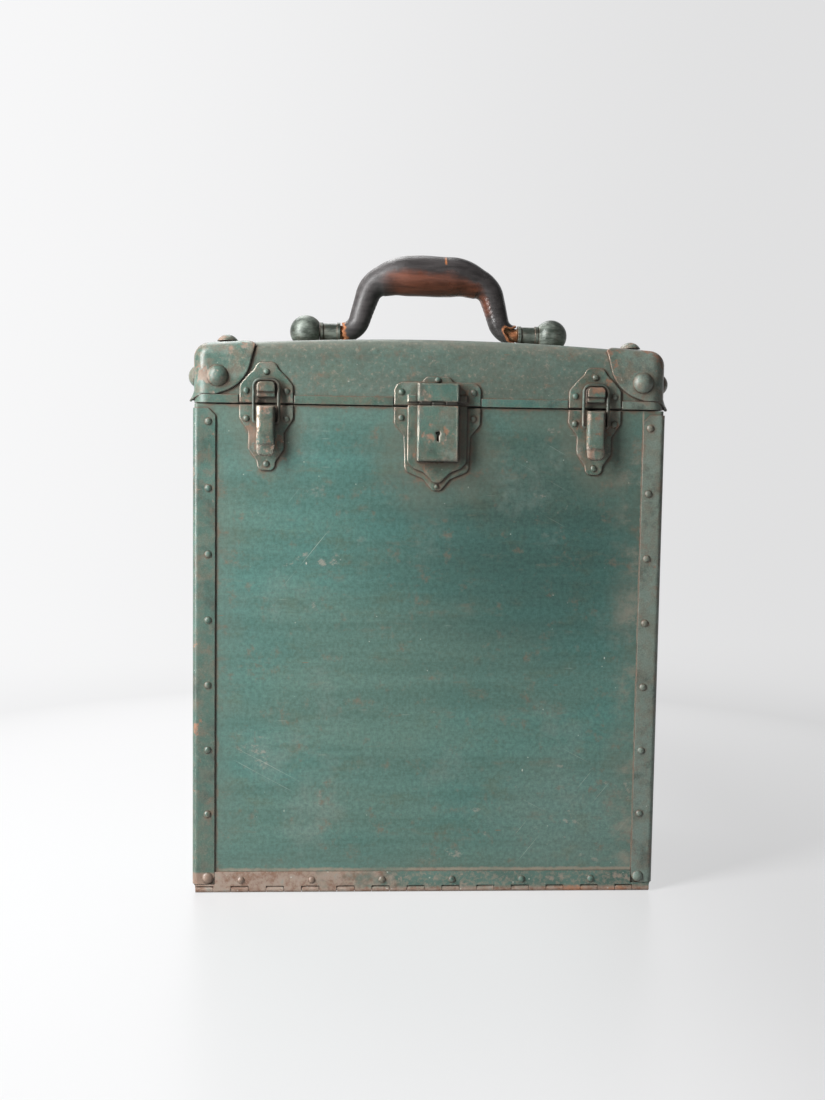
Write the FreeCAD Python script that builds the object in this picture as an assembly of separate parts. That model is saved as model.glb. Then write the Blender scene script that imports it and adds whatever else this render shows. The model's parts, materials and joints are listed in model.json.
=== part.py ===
"""Green hard carrying case with a drop front, a crowned lid, two draw latches, a hasp lock and a handle.

Frame: millimetres, origin at the middle of the base, +X right, +Y to the back, +Z up.
On the front face a place is given as (x, out, up): out is the distance in front of the front panel's
face, and up is the height above the parting line between the body and the lid.
"""
import FreeCAD, Part
import math
import os

V = FreeCAD.Vector

# Case and lid
CASE_WIDTH = 332.0
CASE_DEPTH = 200.0
CASE_HEIGHT = 350.0
PANEL = 6.0
BOTTOM_PANEL = 7.0
PART_GAP = 0.8
LID_BOARD_HEIGHT = 35.0
LID_CROWN = 50.0
DOME_RADIUS = 2000.0
LID_EDGE_ROUND = 10.0
CORNER_ROUND = 3.0
HARDWARE_SHIFT = 4.0

# Sheet steel and fits
SHEET = 1.0
DOOR_GAP = 0.5
SIDE_CLEARANCE = 0.3
PIN_FIT = 0.05
HOLE_FIT = 0.1

# Corner angles and edgings
ANGLE_LEG = 16.0
ANGLE_TOP_DROP = 3.0
ANGLE_CHAMFER = 5.0
ANGLE_FOOT = 6.6
ANGLE_FOOT_ROUND = 7.0
JOINT_GAP = 0.3
EDGING_HEIGHT = 15.0
EDGING_UNDER = 12.0

# Continuous hinge along the bottom of the drop front
KNUCKLE_LENGTH = 12.7
HINGE_END_GAP = 0.9
KNUCKLE_GAP = 0.3
BARREL_RADIUS = 2.4
HINGE_PIN_RADIUS = 1.2
LEAF_HEIGHT = 15.4
LEAF_UNDER = 14.0
LEAF_RIVET_PITCH = 50.8
LEAF_RIVET_SHIFT = -5.4
LEAF_RIVET_HEIGHT = 9.5
BARREL_CLEARANCE = 0.4

# Rivets
RIVET_HEAD_RADIUS = 2.7
RIVET_HEAD_HEIGHT = 1.4
RIVET_SHANK_RADIUS = 1.5
CLENCH_RADIUS = 2.2
CLENCH_HEIGHT = 0.6
ANGLE_RIVET_COUNT = 7
ANGLE_RIVET_INSET = 11.0
ANGLE_RIVET_TOP_DROP = 12.3
ANGLE_RIVET_BOTTOM = 58.0
FOOT_RIVET_RADIUS = 4.1
FOOT_RIVET_HEIGHT = 1.8
FOOT_RIVET_LEVEL = 11.2
EDGING_RIVET_COUNT = 3

# Lid band and corner caps
BAND_HEIGHT = 5.7
BAND_PROUD = 1.2
BAND_CLEARANCE = 0.6
CAP_SHEET = 1.4
CAP_REACH = 44.0
CAP_WAIST_IN = 35.0
CAP_WAIST_UP = 14.0
CAP_WAIST_BEND = 28.0
CAP_FOOT_IN = 14.7
CAP_FOOT_BEND = 4.0
DOME_RIVET_RADIUS = 7.5
DOME_RIVET_HEIGHT = 4.6
DOME_RIVET_INSET = 16.0
DOME_RIVET_LEVEL = 19.6
DOME_RIVET_TOP_INSET = 21.0

# Draw latches
LATCH_INSET = 50.0
PLATE_GAP = 0.4
LEVER_PIVOT_OUT = 5.5
LEVER_PIVOT_DROP = 3.6
LEVER_WIDTH = 13.0
LEVER_FRONT = 9.0
LEVER_LENGTH = 27.5
LEVER_LIP = 8.3
LEVER_SHEET = 1.0
LEVER_ROUND = 2.0
LIP_ROUND = 3.0
LEVER_PIN_RADIUS = 1.0
EAR_CLEARANCE = 0.3
EAR_TIP = 2.2
EAR_ROOT = 8.0
BAIL_PIVOT_OUT = 4.0
BAIL_PIVOT_DROP = 12.4
BAIL_WIRE_RADIUS = 1.2
BAIL_SPACING = 17.3
BAIL_TOP = 17.3
BAIL_BEND = 5.0
BOSS_WIDTH = 12.3
BOSS_FRONT = 6.6
BOSS_CLEARANCE = 0.35
BOSS_STEP = 8.7
BOSS_FOOT = 5.1
BOSS_LEDGE = 1.8
BOSS_ROUND = 3.0
BOSS_EDGE = 0.8
LATCH_RIVET_SIDE = 14.0
LATCH_RIVET_HEAD = 2.4

# Hasp lock
LOCK_FRONT = 10.0
LOCK_WALL = 1.0
HASP_AXIS_UP = 2.3
HASP_AXIS_SET_BACK = 0.9
HASP_HALF_GAP = 1.3
HASP_BARREL_RADIUS = 1.0
HASP_PIN_RADIUS = 0.5
HASP_PLATE_GAP = 0.3
LOCK_BOX_WIDTH = 29.0
LOCK_BOX_BOTTOM = -37.9
KNUCKLE_BOX_TOP = 16.3
STAPLE_X = 4.0
STAPLE_LEVEL = -27.0
STAPLE_HEIGHT = 6.4
STAPLE_SHEET = 2.0
STAPLE_REACH = 7.2
BOLT_SEAT = 1.5
BOLT_HEIGHT = 2.8
BOLT_DEPTH = 2.4
BOLT_LENGTH = 10.4
BOLT_TRAVEL = 5.0
BOLT_CLEARANCE = 0.3
LOCK_RIVET_SIDE = 25.5
TIP_RIVET_HEAD = 1.8
KEYHOLE_TOP = -17.0
KEYHOLE_RADIUS = 1.5
KEYHOLE_LENGTH = 5.6

# Handle
POST_X = 96.0
POST_BALL_RADIUS = 12.6
POST_FOOT_RADIUS = 9.0
HANDLE_AXIS_UP = 61.4
TRUNNION_RADIUS = 3.5
TRUNNION_DEPTH = 8.0
FERRULE_RADIUS = 7.4
FERRULE_INNER_X = 69.5
GRIP_FOOT_X = 57.3
GRIP_FOOT_BEND = 14.0
GRIP_HEAD_X = 46.2
GRIP_HEAD_UP = 36.5
GRIP_HEAD_BEND = 16.0
GRIP_CROWN_X = 24.0
GRIP_CROWN_UP = 44.6
GRIP_CROWN_BEND = 45.0
GRIP_END_RADIUS = 7.6
GRIP_LEG_RADIUS = 9.2
GRIP_HEAD_RADIUS = 10.5
GRIP_SHOULDER_RADIUS = 13.5
GRIP_PALM_RADIUS = 15.6
GRIP_MID_RADIUS = 15.9
GRIP_STATIONS = [
    (0.0, GRIP_END_RADIUS), (0.32, GRIP_LEG_RADIUS), (0.5, GRIP_HEAD_RADIUS), (0.66, GRIP_SHOULDER_RADIUS),
    (0.82, GRIP_PALM_RADIUS), (1.0, GRIP_MID_RADIUS),
]
GRIP_RINGS = 25
POST_BOLT_RADIUS = 3.0
POST_NUT_RADIUS = 6.0
POST_NUT_HEIGHT = 3.0
POST_BOLT_DEPTH = 6.0

# Back hinges
BACK_HINGE_INSET = 66.0
BACK_LEAF_WIDTH = 50.0
BACK_LEAF_HEIGHT = 26.0
BACK_LEAF_SHEET = 1.5
BACK_BARREL_RADIUS = 3.0
BACK_PIN_RADIUS = 1.5
BACK_BARREL_OFFSET = 3.2

# Levels and faces that follow from the sizes above
HALF_W = CASE_WIDTH / 2
HALF_D = CASE_DEPTH / 2
FRONT = -HALF_D
INNER_W = HALF_W - PANEL
LATCH_X = HALF_W - LATCH_INSET
BACK_HINGE_X = HALF_W - BACK_HINGE_INSET
HINGE_HALF = HALF_W - HINGE_END_GAP
KNUCKLE_COUNT = 2 * round(HINGE_HALF / KNUCKLE_LENGTH)
LEAF_RIVET_COUNT = round((CASE_WIDTH - 2 * ANGLE_LEG) / LEAF_RIVET_PITCH)
DOOR_HALF = HALF_W + SIDE_CLEARANCE
LID_BASE = CASE_HEIGHT + PART_GAP
LID_SEAT = LID_BASE + LID_BOARD_HEIGHT
CROWN_Z = CASE_HEIGHT + LID_CROWN
HINGE_AXIS = V(0, FRONT - SHEET + BARREL_RADIUS, BARREL_RADIUS)
DOOR_BOTTOM = 2 * BARREL_RADIUS + BARREL_CLEARANCE
BACK_AXIS = V(0, HALF_D + BACK_BARREL_OFFSET, CASE_HEIGHT + PART_GAP / 2)
LEVER_AXIS_UP = -LEVER_PIVOT_DROP
BAIL_AXIS_UP = -BAIL_PIVOT_DROP
HASP_AXIS_OUT = LOCK_FRONT - HASP_AXIS_SET_BACK
HANDLE_Z = CASE_HEIGHT + HANDLE_AXIS_UP
FAR_UP = LID_CROWN * 2


def box(x0, x1, y0, y1, z0, z1):
    """Box between two corners."""
    return Part.makeBox(x1 - x0, y1 - y0, z1 - z0, V(x0, y0, z0))


def rod(start, end, radius):
    """Round bar between two points."""
    return Part.makeCylinder(radius, (end - start).Length, start, end - start)


def rounded_wire(points, place):
    """Closed outline through (a, b, radius) points: straight sides with a tangent arc at each corner.

    place turns a pair (a, b) into a point in space.
    """
    edges = []
    count = len(points)
    starts = []
    ends = []
    middles = []
    for i in range(count):
        here = V(points[i][0], points[i][1], 0)
        before = V(points[i - 1][0], points[i - 1][1], 0) - here
        after = V(points[(i + 1) % count][0], points[(i + 1) % count][1], 0) - here
        radius = points[i][2]
        half = before.getAngle(after) / 2
        before.normalize()
        after.normalize()
        reach = radius / math.tan(half)
        starts.append(here + before * reach)
        ends.append(here + after * reach)
        inward = before + after
        inward.normalize()
        middles.append(here + inward * (radius / math.sin(half) - radius))
    for i in range(count):
        if points[i][2] > 0:
            arc = [place(p.x, p.y) for p in (starts[i], middles[i], ends[i])]
            edges.append(Part.Arc(*arc).toShape())
        following = starts[(i + 1) % count]
        if (following - ends[i]).Length > 1e-6:
            side = Part.LineSegment(place(ends[i].x, ends[i].y), place(following.x, following.y))
            edges.append(side.toShape())
    return Part.Wire(edges)


def front_plate(points, out0, out1, x_shift=0.0):
    """Outline in (x, up) on the front face, carried outwards from out0 to out1."""
    wire = rounded_wire(points, lambda x, up: V(x + x_shift, FRONT - out0, CASE_HEIGHT + up))
    return Part.Face(wire).extrude(V(0, out0 - out1, 0))


def side_plate(points, x0, x1):
    """Outline in (out, up) seen from the side, carried along X."""
    wire = rounded_wire(points, lambda out, up: V(x0, FRONT - out, CASE_HEIGHT + up))
    return Part.Face(wire).extrude(V(x1 - x0, 0, 0))


def mirrored_outline(right_half):
    """Closed outline from its right half, listed from the top down and mirrored to the left."""
    left_half = [(-x, up, radius) for x, up, radius in reversed(right_half)]
    return right_half + left_half


def front_box(x0, x1, out0, out1, up0, up1):
    """Box on the front face."""
    return box(x0, x1, FRONT - out1, FRONT - out0, CASE_HEIGHT + up0, CASE_HEIGHT + up1)


def front_point(x, out, up):
    """Point on the front face's own scales."""
    return V(x, FRONT - out, CASE_HEIGHT + up)


def rivet(seat, outward, grip, head_radius=RIVET_HEAD_RADIUS, head_height=RIVET_HEAD_HEIGHT):
    """Rivet with a domed head on its seat, a shank through grip millimetres and a flat clench behind."""
    sphere_radius = (head_radius ** 2 + head_height ** 2) / (2 * head_height)
    dome = Part.makeSphere(sphere_radius, seat + outward * (head_height - sphere_radius), outward, 0, 90, 360)
    head = dome.common(rod(seat, seat + outward * (2 * head_height), head_radius * 2))
    shank = rod(seat - outward * grip, seat + outward * (head_height / 2), RIVET_SHANK_RADIUS)
    clench = rod(seat - outward * (grip + CLENCH_HEIGHT), seat - outward * grip, CLENCH_RADIUS)
    return head.fuse([shank, clench]).removeSplitter()


def rivet_hole(seat, outward, grip):
    """Hole for a rivet's shank, a little wider than it and open at both ends."""
    return rod(seat - outward * (grip + 1), seat + outward, RIVET_SHANK_RADIUS + HOLE_FIT)


def steps(first, last, count):
    """Evenly spaced values from first to last."""
    return [first + (last - first) * i / (count - 1) for i in range(count)]


def save(node, *solids):
    """Write one piece, or one group of like pieces."""
    shape = solids[0] if len(solids) == 1 else Part.makeCompound(list(solids))
    for solid in shape.Solids:
        if not solid.isValid() or solid.Volume <= 0:
            raise ValueError(f"{node} has a bad solid")
    shape.exportStep(f"parts/{node}.step")


OUT = V(0, -1, 0)
BACKWARD = V(0, 1, 0)
RIGHT = V(1, 0, 0)
UP = V(0, 0, 1)
SIDES = (("left", -1), ("right", 1))


def round_upright_edges(solid, keep, radius):
    """Round the upright edges whose middle point passes the test keep."""
    chosen = []
    for edge in solid.Edges:
        box_of_edge = edge.BoundBox
        upright = box_of_edge.ZLength > box_of_edge.XLength + box_of_edge.YLength
        if upright and keep(edge.CenterOfMass):
            chosen.append(edge)
    return solid.makeFillet(radius, chosen)


def angle_rivet_levels():
    """Heights of the small rivets along a corner angle."""
    return steps(CASE_HEIGHT - ANGLE_RIVET_TOP_DROP, ANGLE_RIVET_BOTTOM, ANGLE_RIVET_COUNT)


def rivets_and_holes(places, grip, head_radius=RIVET_HEAD_RADIUS, head_height=RIVET_HEAD_HEIGHT):
    """Rivets and their holes at a list of (seat, outward) places."""
    solids = [rivet(seat, outward, grip, head_radius, head_height) for seat, outward in places]
    holes = [rivet_hole(seat, outward, grip) for seat, outward in places]
    return solids, holes


def corner_angle(side, half_width, face, back):
    """Steel angle on one upright corner: two legs with a rounded fold.

    half_width is the side face that it lies against, face the front or back face, and back is True at
    the rear. The free end of the front leg is chamfered on the left and rounded elsewhere.
    """
    turn = -1 if back else 1
    top = CASE_HEIGHT - ANGLE_TOP_DROP
    outer_x = half_width + SHEET
    outer_y = face - turn * SHEET
    far_y = outer_y + turn * ANGLE_LEG * 2
    outer = box(0, outer_x, min(outer_y, far_y), max(outer_y, far_y), ANGLE_FOOT, top)
    inner = box(-SHEET, half_width, min(face, far_y + turn), max(face, far_y + turn), ANGLE_FOOT - 1, top + 1)
    corner = round_upright_edges(outer, lambda p: abs(p.y - outer_y) < 0.1 and p.x > 1, CORNER_ROUND + SHEET)
    hollow = round_upright_edges(inner, lambda p: abs(p.y - face) < 0.1 and p.x > 1, CORNER_ROUND)
    legs = corner.cut(hollow)
    reach_y = outer_y + turn * ANGLE_LEG
    edge_x = outer_x - ANGLE_LEG
    section = box(edge_x, outer_x + 1, min(outer_y, reach_y), max(outer_y, reach_y), 0, CASE_HEIGHT)
    legs = legs.common(section)
    outline = [
        (edge_x + ANGLE_CHAMFER, top - CASE_HEIGHT, 0),
        (outer_x + 1, top - CASE_HEIGHT, 0),
        (outer_x + 1, ANGLE_FOOT - CASE_HEIGHT, 0),
        (edge_x, ANGLE_FOOT - CASE_HEIGHT, ANGLE_FOOT_ROUND),
        (edge_x, top - CASE_HEIGHT - ANGLE_CHAMFER, 0),
    ]
    trimmed = front_plate(outline, SHEET * 2, -CASE_DEPTH - SHEET * 2)
    legs = legs.common(trimmed)
    return legs if side > 0 else legs.mirror(V(0, 0, 0), V(1, 0, 0))


def case_body():
    """Back, sides and bottom with their angles, edgings and rivets."""
    grip = SHEET + PANEL
    wall_start = FRONT + PANEL + DOOR_GAP
    back = box(-HALF_W, HALF_W, HALF_D - PANEL, HALF_D, SHEET, CASE_HEIGHT)
    back = round_upright_edges(back, lambda p: p.y > HALF_D - 0.1, CORNER_ROUND)
    sides = {}
    for side, sign in SIDES:
        x0, x1 = sorted((sign * INNER_W, sign * HALF_W))
        sides[side] = box(x0, x1, wall_start, HALF_D - PANEL, SHEET, CASE_HEIGHT)
    bottom = box(-INNER_W, INNER_W, wall_start, HALF_D - PANEL, 0, BOTTOM_PANEL)
    under_x = HALF_W + SHEET - EDGING_UNDER
    under_y = HALF_D + SHEET - EDGING_UNDER
    rims = [
        box(-HALF_W, -under_x, FRONT, HALF_D, -1, SHEET),
        box(under_x, HALF_W, FRONT, HALF_D, -1, SHEET),
        box(-HALF_W, HALF_W, under_y, HALF_D, -1, SHEET),
        box(-HALF_W, HALF_W, FRONT, FRONT - SHEET + LEAF_UNDER, -1, SHEET),
    ]
    bottom = bottom.cut(rims)

    angle_edge_x = HALF_W + SHEET - ANGLE_LEG
    angle_edge_y = HALF_D + SHEET - ANGLE_LEG
    front_edge_y = -angle_edge_y + 2 * JOINT_GAP
    back_places = []
    side_places = {"left": [], "right": []}
    foot_places = []
    for side, sign in SIDES:
        rivet_x = sign * (HALF_W + SHEET - ANGLE_RIVET_INSET)
        rivet_y = HALF_D + SHEET - ANGLE_RIVET_INSET
        face_x = sign * (HALF_W + SHEET)
        outward = V(sign, 0, 0)
        for z in angle_rivet_levels():
            back_places.append((V(rivet_x, HALF_D + SHEET, z), BACKWARD))
            side_places[side].append((V(face_x, rivet_y, z), outward))
        foot_places.append((V(rivet_x, HALF_D + SHEET, FOOT_RIVET_LEVEL), BACKWARD))
        foot_places.append((V(face_x, rivet_y, FOOT_RIVET_LEVEL), outward))

        angle = corner_angle(sign, HALF_W, HALF_D, True)
        holes = [rivet_hole(seat, way, grip) for seat, way in back_places + side_places[side] + foot_places]
        save(f"back_angle_{side}", angle.cut(holes))

    edging_places = []
    for side, sign in SIDES:
        x0, x1 = sorted((sign * HALF_W, sign * (HALF_W + SHEET)))
        under0, under1 = sorted((sign * under_x, sign * (HALF_W + SHEET)))
        y1 = angle_edge_y - JOINT_GAP
        edging = box(x0, x1, front_edge_y, y1, 0, EDGING_HEIGHT)
        edging = edging.fuse(box(under0, under1, front_edge_y, y1, 0, SHEET)).removeSplitter()
        margin = ANGLE_LEG
        for y in steps(front_edge_y + margin, y1 - margin, EDGING_RIVET_COUNT):
            edging_places.append((V(sign * (HALF_W + SHEET), y, LEAF_RIVET_HEIGHT), V(sign, 0, 0)))
        holes = [rivet_hole(seat, way, grip) for seat, way in edging_places]
        save(f"bottom_edging_{side}", edging.cut(holes))
    reach_x = angle_edge_x - JOINT_GAP
    edging = box(-reach_x, reach_x, HALF_D, HALF_D + SHEET, 0, EDGING_HEIGHT)
    under_reach = under_x - JOINT_GAP
    edging = edging.fuse(box(-under_reach, under_reach, under_y, HALF_D + SHEET, 0, SHEET)).removeSplitter()
    back_edging_places = []
    for x in steps(-reach_x + ANGLE_LEG, reach_x - ANGLE_LEG, LEAF_RIVET_COUNT):
        back_edging_places.append((V(x, HALF_D + SHEET, LEAF_RIVET_HEIGHT), BACKWARD))
    save("bottom_edging_back", edging.cut([rivet_hole(seat, way, grip) for seat, way in back_edging_places]))

    angle_places = back_places + side_places["left"] + side_places["right"]
    angle_solids, angle_holes = rivets_and_holes(angle_places, grip)
    foot_solids, foot_holes = rivets_and_holes(foot_places, grip, FOOT_RIVET_RADIUS, FOOT_RIVET_HEIGHT)
    edging_solids, edging_holes = rivets_and_holes(edging_places + back_edging_places, grip)
    hinge_solids, hinge_holes = save_back_hinge_leaves("case")
    leaf_solids, leaf_holes = save_fixed_leaf()
    holes = angle_holes + foot_holes + edging_holes
    save("case_rivets", *angle_solids, *foot_solids, *edging_solids, *hinge_solids, *leaf_solids)
    save("back_panel", back.cut(holes + hinge_holes))
    for side, sign in SIDES:
        save(f"{side}_panel", sides[side].cut(holes))
    save("bottom_panel", bottom.cut(leaf_holes))


def knuckle_spans(first):
    """X spans of every second knuckle of the continuous hinge, starting at number first.

    The two end knuckles run to the ends of the hinge.
    """
    bounds = [(i - KNUCKLE_COUNT / 2) * KNUCKLE_LENGTH for i in range(KNUCKLE_COUNT + 1)]
    bounds[0] = -HINGE_HALF
    bounds[-1] = HINGE_HALF
    spans = []
    for i in range(first, KNUCKLE_COUNT, 2):
        spans.append((bounds[i] + KNUCKLE_GAP / 2, bounds[i + 1] - KNUCKLE_GAP / 2))
    return spans


def hinge_leaf(plate, tabs_to, first):
    """One leaf of the continuous hinge: its plate, and a tab and barrel for every second knuckle."""
    pieces = [plate]
    for x0, x1 in knuckle_spans(first):
        start = V(x0, HINGE_AXIS.y, HINGE_AXIS.z)
        pieces.append(rod(start, start + V(x1 - x0, 0, 0), BARREL_RADIUS))
        pieces.append(tabs_to(x0, x1))
    leaf = pieces[0].fuse(pieces[1:]).removeSplitter()
    bore_start = V(-CASE_WIDTH, HINGE_AXIS.y, HINGE_AXIS.z)
    bore = rod(bore_start, bore_start + V(2 * CASE_WIDTH, 0, 0), HINGE_PIN_RADIUS + PIN_FIT)
    return leaf.cut(bore)


def save_fixed_leaf():
    """The hinge leaf under the bottom panel and the pin. Returns its flush rivets and their holes."""
    clear_y = HINGE_AXIS.y + BARREL_RADIUS + BARREL_CLEARANCE
    end_y = FRONT - SHEET + LEAF_UNDER
    edge_x = HALF_W + SHEET - EDGING_UNDER
    plate = box(-edge_x, edge_x, clear_y, end_y - JOINT_GAP, 0, SHEET)
    front_strip = box(-HINGE_HALF, HINGE_HALF, clear_y, FRONT + PANEL, 0, SHEET)
    plate = plate.fuse(front_strip)

    def tab(x0, x1):
        return box(x0, x1, HINGE_AXIS.y, clear_y + SHEET, 0, SHEET)

    leaf = hinge_leaf(plate, tab, 0)
    rivets = []
    holes = []
    rivet_y = (FRONT + PANEL + DOOR_GAP + end_y) / 2
    middle = (LEAF_RIVET_COUNT - 1) / 2
    for i in range(LEAF_RIVET_COUNT):
        foot = V(LEAF_RIVET_SHIFT + (i - middle) * LEAF_RIVET_PITCH, rivet_y, 0)
        top = foot + UP * BOTTOM_PANEL
        shank = rod(foot, top, RIVET_SHANK_RADIUS)
        rivets.append(shank.fuse(rod(top, top + UP * CLENCH_HEIGHT, CLENCH_RADIUS)).removeSplitter())
        holes.append(rod(foot - UP, top + UP, RIVET_SHANK_RADIUS + HOLE_FIT))
    save("front_hinge_fixed_leaf", leaf.cut(holes))
    pin_start = V(-HINGE_HALF, HINGE_AXIS.y, HINGE_AXIS.z)
    save("front_hinge_pin", rod(pin_start, pin_start + V(2 * HINGE_HALF, 0, 0), HINGE_PIN_RADIUS))
    return rivets, holes


def save_back_hinge_leaves(part):
    """The case or lid leaves of the two back hinges, and the pins with the case's leaves.

    Each leaf lies on the back face. The case leaf has the middle barrel, the lid leaf the outer two.
    Returns the rivets and their holes.
    """
    on_case = part == "case"
    third = BACK_LEAF_WIDTH / 3
    way = -1 if on_case else 1
    rivets = []
    all_holes = []
    pins = []
    for side, sign in SIDES:
        x_mid = sign * BACK_HINGE_X
        near = BACK_AXIS.z + way * (BACK_BARREL_RADIUS + BARREL_CLEARANCE)
        far = BACK_AXIS.z + way * (BACK_BARREL_RADIUS + BACK_LEAF_HEIGHT)
        left = x_mid - BACK_LEAF_WIDTH / 2
        right = x_mid + BACK_LEAF_WIDTH / 2
        plate = box(left, right, HALF_D, HALF_D + BACK_LEAF_SHEET, min(near, far), max(near, far))
        pieces = []
        for i in ((1,) if on_case else (0, 2)):
            x0 = left + i * third + JOINT_GAP / 2
            x1 = x0 + third - JOINT_GAP
            centre = V(x0, BACK_AXIS.y, BACK_AXIS.z)
            pieces.append(rod(centre, centre + V(x1 - x0, 0, 0), BACK_BARREL_RADIUS))
            edge = near + way * BACK_LEAF_SHEET
            pieces.append(box(x0, x1, BACK_AXIS.y - BACK_BARREL_RADIUS, HALF_D + BACK_LEAF_SHEET,
                              min(BACK_AXIS.z, edge), max(BACK_AXIS.z, edge)))
        leaf = plate.fuse(pieces).removeSplitter()
        bore_start = V(x_mid - BACK_LEAF_WIDTH, BACK_AXIS.y, BACK_AXIS.z)
        leaf = leaf.cut(rod(bore_start, bore_start + V(2 * BACK_LEAF_WIDTH, 0, 0), BACK_PIN_RADIUS + PIN_FIT))
        rivet_z = (near + far) / 2
        places = [(V(x_mid + dx * third, HALF_D + BACK_LEAF_SHEET, rivet_z), BACKWARD) for dx in (-1, 0, 1)]
        solids, holes = rivets_and_holes(places, BACK_LEAF_SHEET + PANEL)
        rivets += solids
        all_holes += holes
        save(f"back_hinge_{part}_leaf_{side}", leaf.cut(holes))
        pin_start = V(left, BACK_AXIS.y, BACK_AXIS.z)
        pins.append(rod(pin_start, pin_start + V(BACK_LEAF_WIDTH, 0, 0), BACK_PIN_RADIUS))
    if on_case:
        save("back_hinge_pins", *pins)
    return rivets, all_holes


# Outlines on the front face: right halves from the top down, as (x, up, corner radius)
LATCH_OUTLINE = mirrored_outline([
    (6.0, 29.2, 4.0), (8.5, 24.5, 2.0), (13.5, 19.5, 2.0), (18.5, 13.5, 4.0), (18.8, -9.5, 4.0),
    (12.4, -19.0, 3.0), (12.4, -31.0, 3.0), (6.5, -39.5, 3.0), (5.5, -46.0, 4.0),
])
LATCH_LID_RIVETS = [(0.0, 22.8), (-LATCH_RIVET_SIDE, 9.5), (LATCH_RIVET_SIDE, 9.5)]
LATCH_DOOR_RIVETS = [(-LATCH_RIVET_SIDE, -9.8), (LATCH_RIVET_SIDE, -9.8), (0.0, -41.4)]
LOCK_OUTLINE = mirrored_outline([
    (8.0, 21.3, 3.0), (11.0, 17.6, 2.0), (30.5, 17.0, 6.0), (30.5, -11.5, 4.0), (23.6, -20.0, 4.0),
    (22.6, -45.0, 5.0), (9.5, -50.5, 2.0), (3.0, -58.5, 2.0),
])
HASP_OUTLINE = mirrored_outline([
    (21.0, HASP_AXIS_UP - HASP_HALF_GAP, 0.0), (21.0, -38.5, 4.0), (16.5, -43.2, 3.0), (9.7, -45.6, 3.0),
    (2.2, -53.0, 1.5),
])
LOCK_LID_RIVETS = [(0.0, 18.9), (-LOCK_RIVET_SIDE, 10.5), (LOCK_RIVET_SIDE, 10.5)]
LOCK_DOOR_RIVETS = [(-LOCK_RIVET_SIDE, -7.6), (LOCK_RIVET_SIDE, -7.6), (0.0, -55.8)]


def door_half(plate):
    """The part of a front plate that belongs to the drop front."""
    return plate.common(front_box(-CASE_WIDTH, CASE_WIDTH, 0, LOCK_FRONT * 2, -FAR_UP, -PLATE_GAP))


def lid_half(plate):
    """The part of a front plate that belongs to the lid."""
    return plate.common(front_box(-CASE_WIDTH, CASE_WIDTH, 0, LOCK_FRONT * 2, PART_GAP + PLATE_GAP, FAR_UP))


def front_places(x_mid, rivets):
    """Rivet seats on a front plate's face."""
    return [(front_point(x_mid + x, SHEET, up), OUT) for x, up in rivets]


def lever_ear(x0, x1):
    """Ear that carries a lever's pin: a tapered tab from the base plate, round at the pin."""
    front = LEVER_PIVOT_OUT + EAR_TIP
    top = LEVER_AXIS_UP + EAR_TIP
    outline = [
        (SHEET, LEVER_AXIS_UP - EAR_ROOT, 0), (front, LEVER_AXIS_UP - EAR_TIP, 0),
        (front, top, EAR_TIP * 0.95),
        (LEVER_PIVOT_OUT - EAR_TIP / 2, top, EAR_TIP / 2), (SHEET, LEVER_AXIS_UP - SHEET, 0),
    ]
    return side_plate(outline, x0, x1)


def lever_bore(x_mid, out, up, radius):
    """Round hole along X through a whole latch."""
    start = front_point(x_mid - LEVER_WIDTH * 2, out, up)
    return rod(start, start + V(LEVER_WIDTH * 4, 0, 0), radius)


def latch_base(x_mid):
    """Base plate on the drop front with its two ears."""
    plate = door_half(front_plate(LATCH_OUTLINE, 0, SHEET, x_mid))
    ear_outer = LEVER_WIDTH / 2 - LEVER_SHEET - EAR_CLEARANCE
    ears = [lever_ear(x_mid - ear_outer, x_mid - ear_outer + SHEET),
            lever_ear(x_mid + ear_outer - SHEET, x_mid + ear_outer)]
    base = plate.fuse(ears).removeSplitter()
    return base.cut(lever_bore(x_mid, LEVER_PIVOT_OUT, LEVER_AXIS_UP, LEVER_PIN_RADIUS + PIN_FIT))


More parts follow.
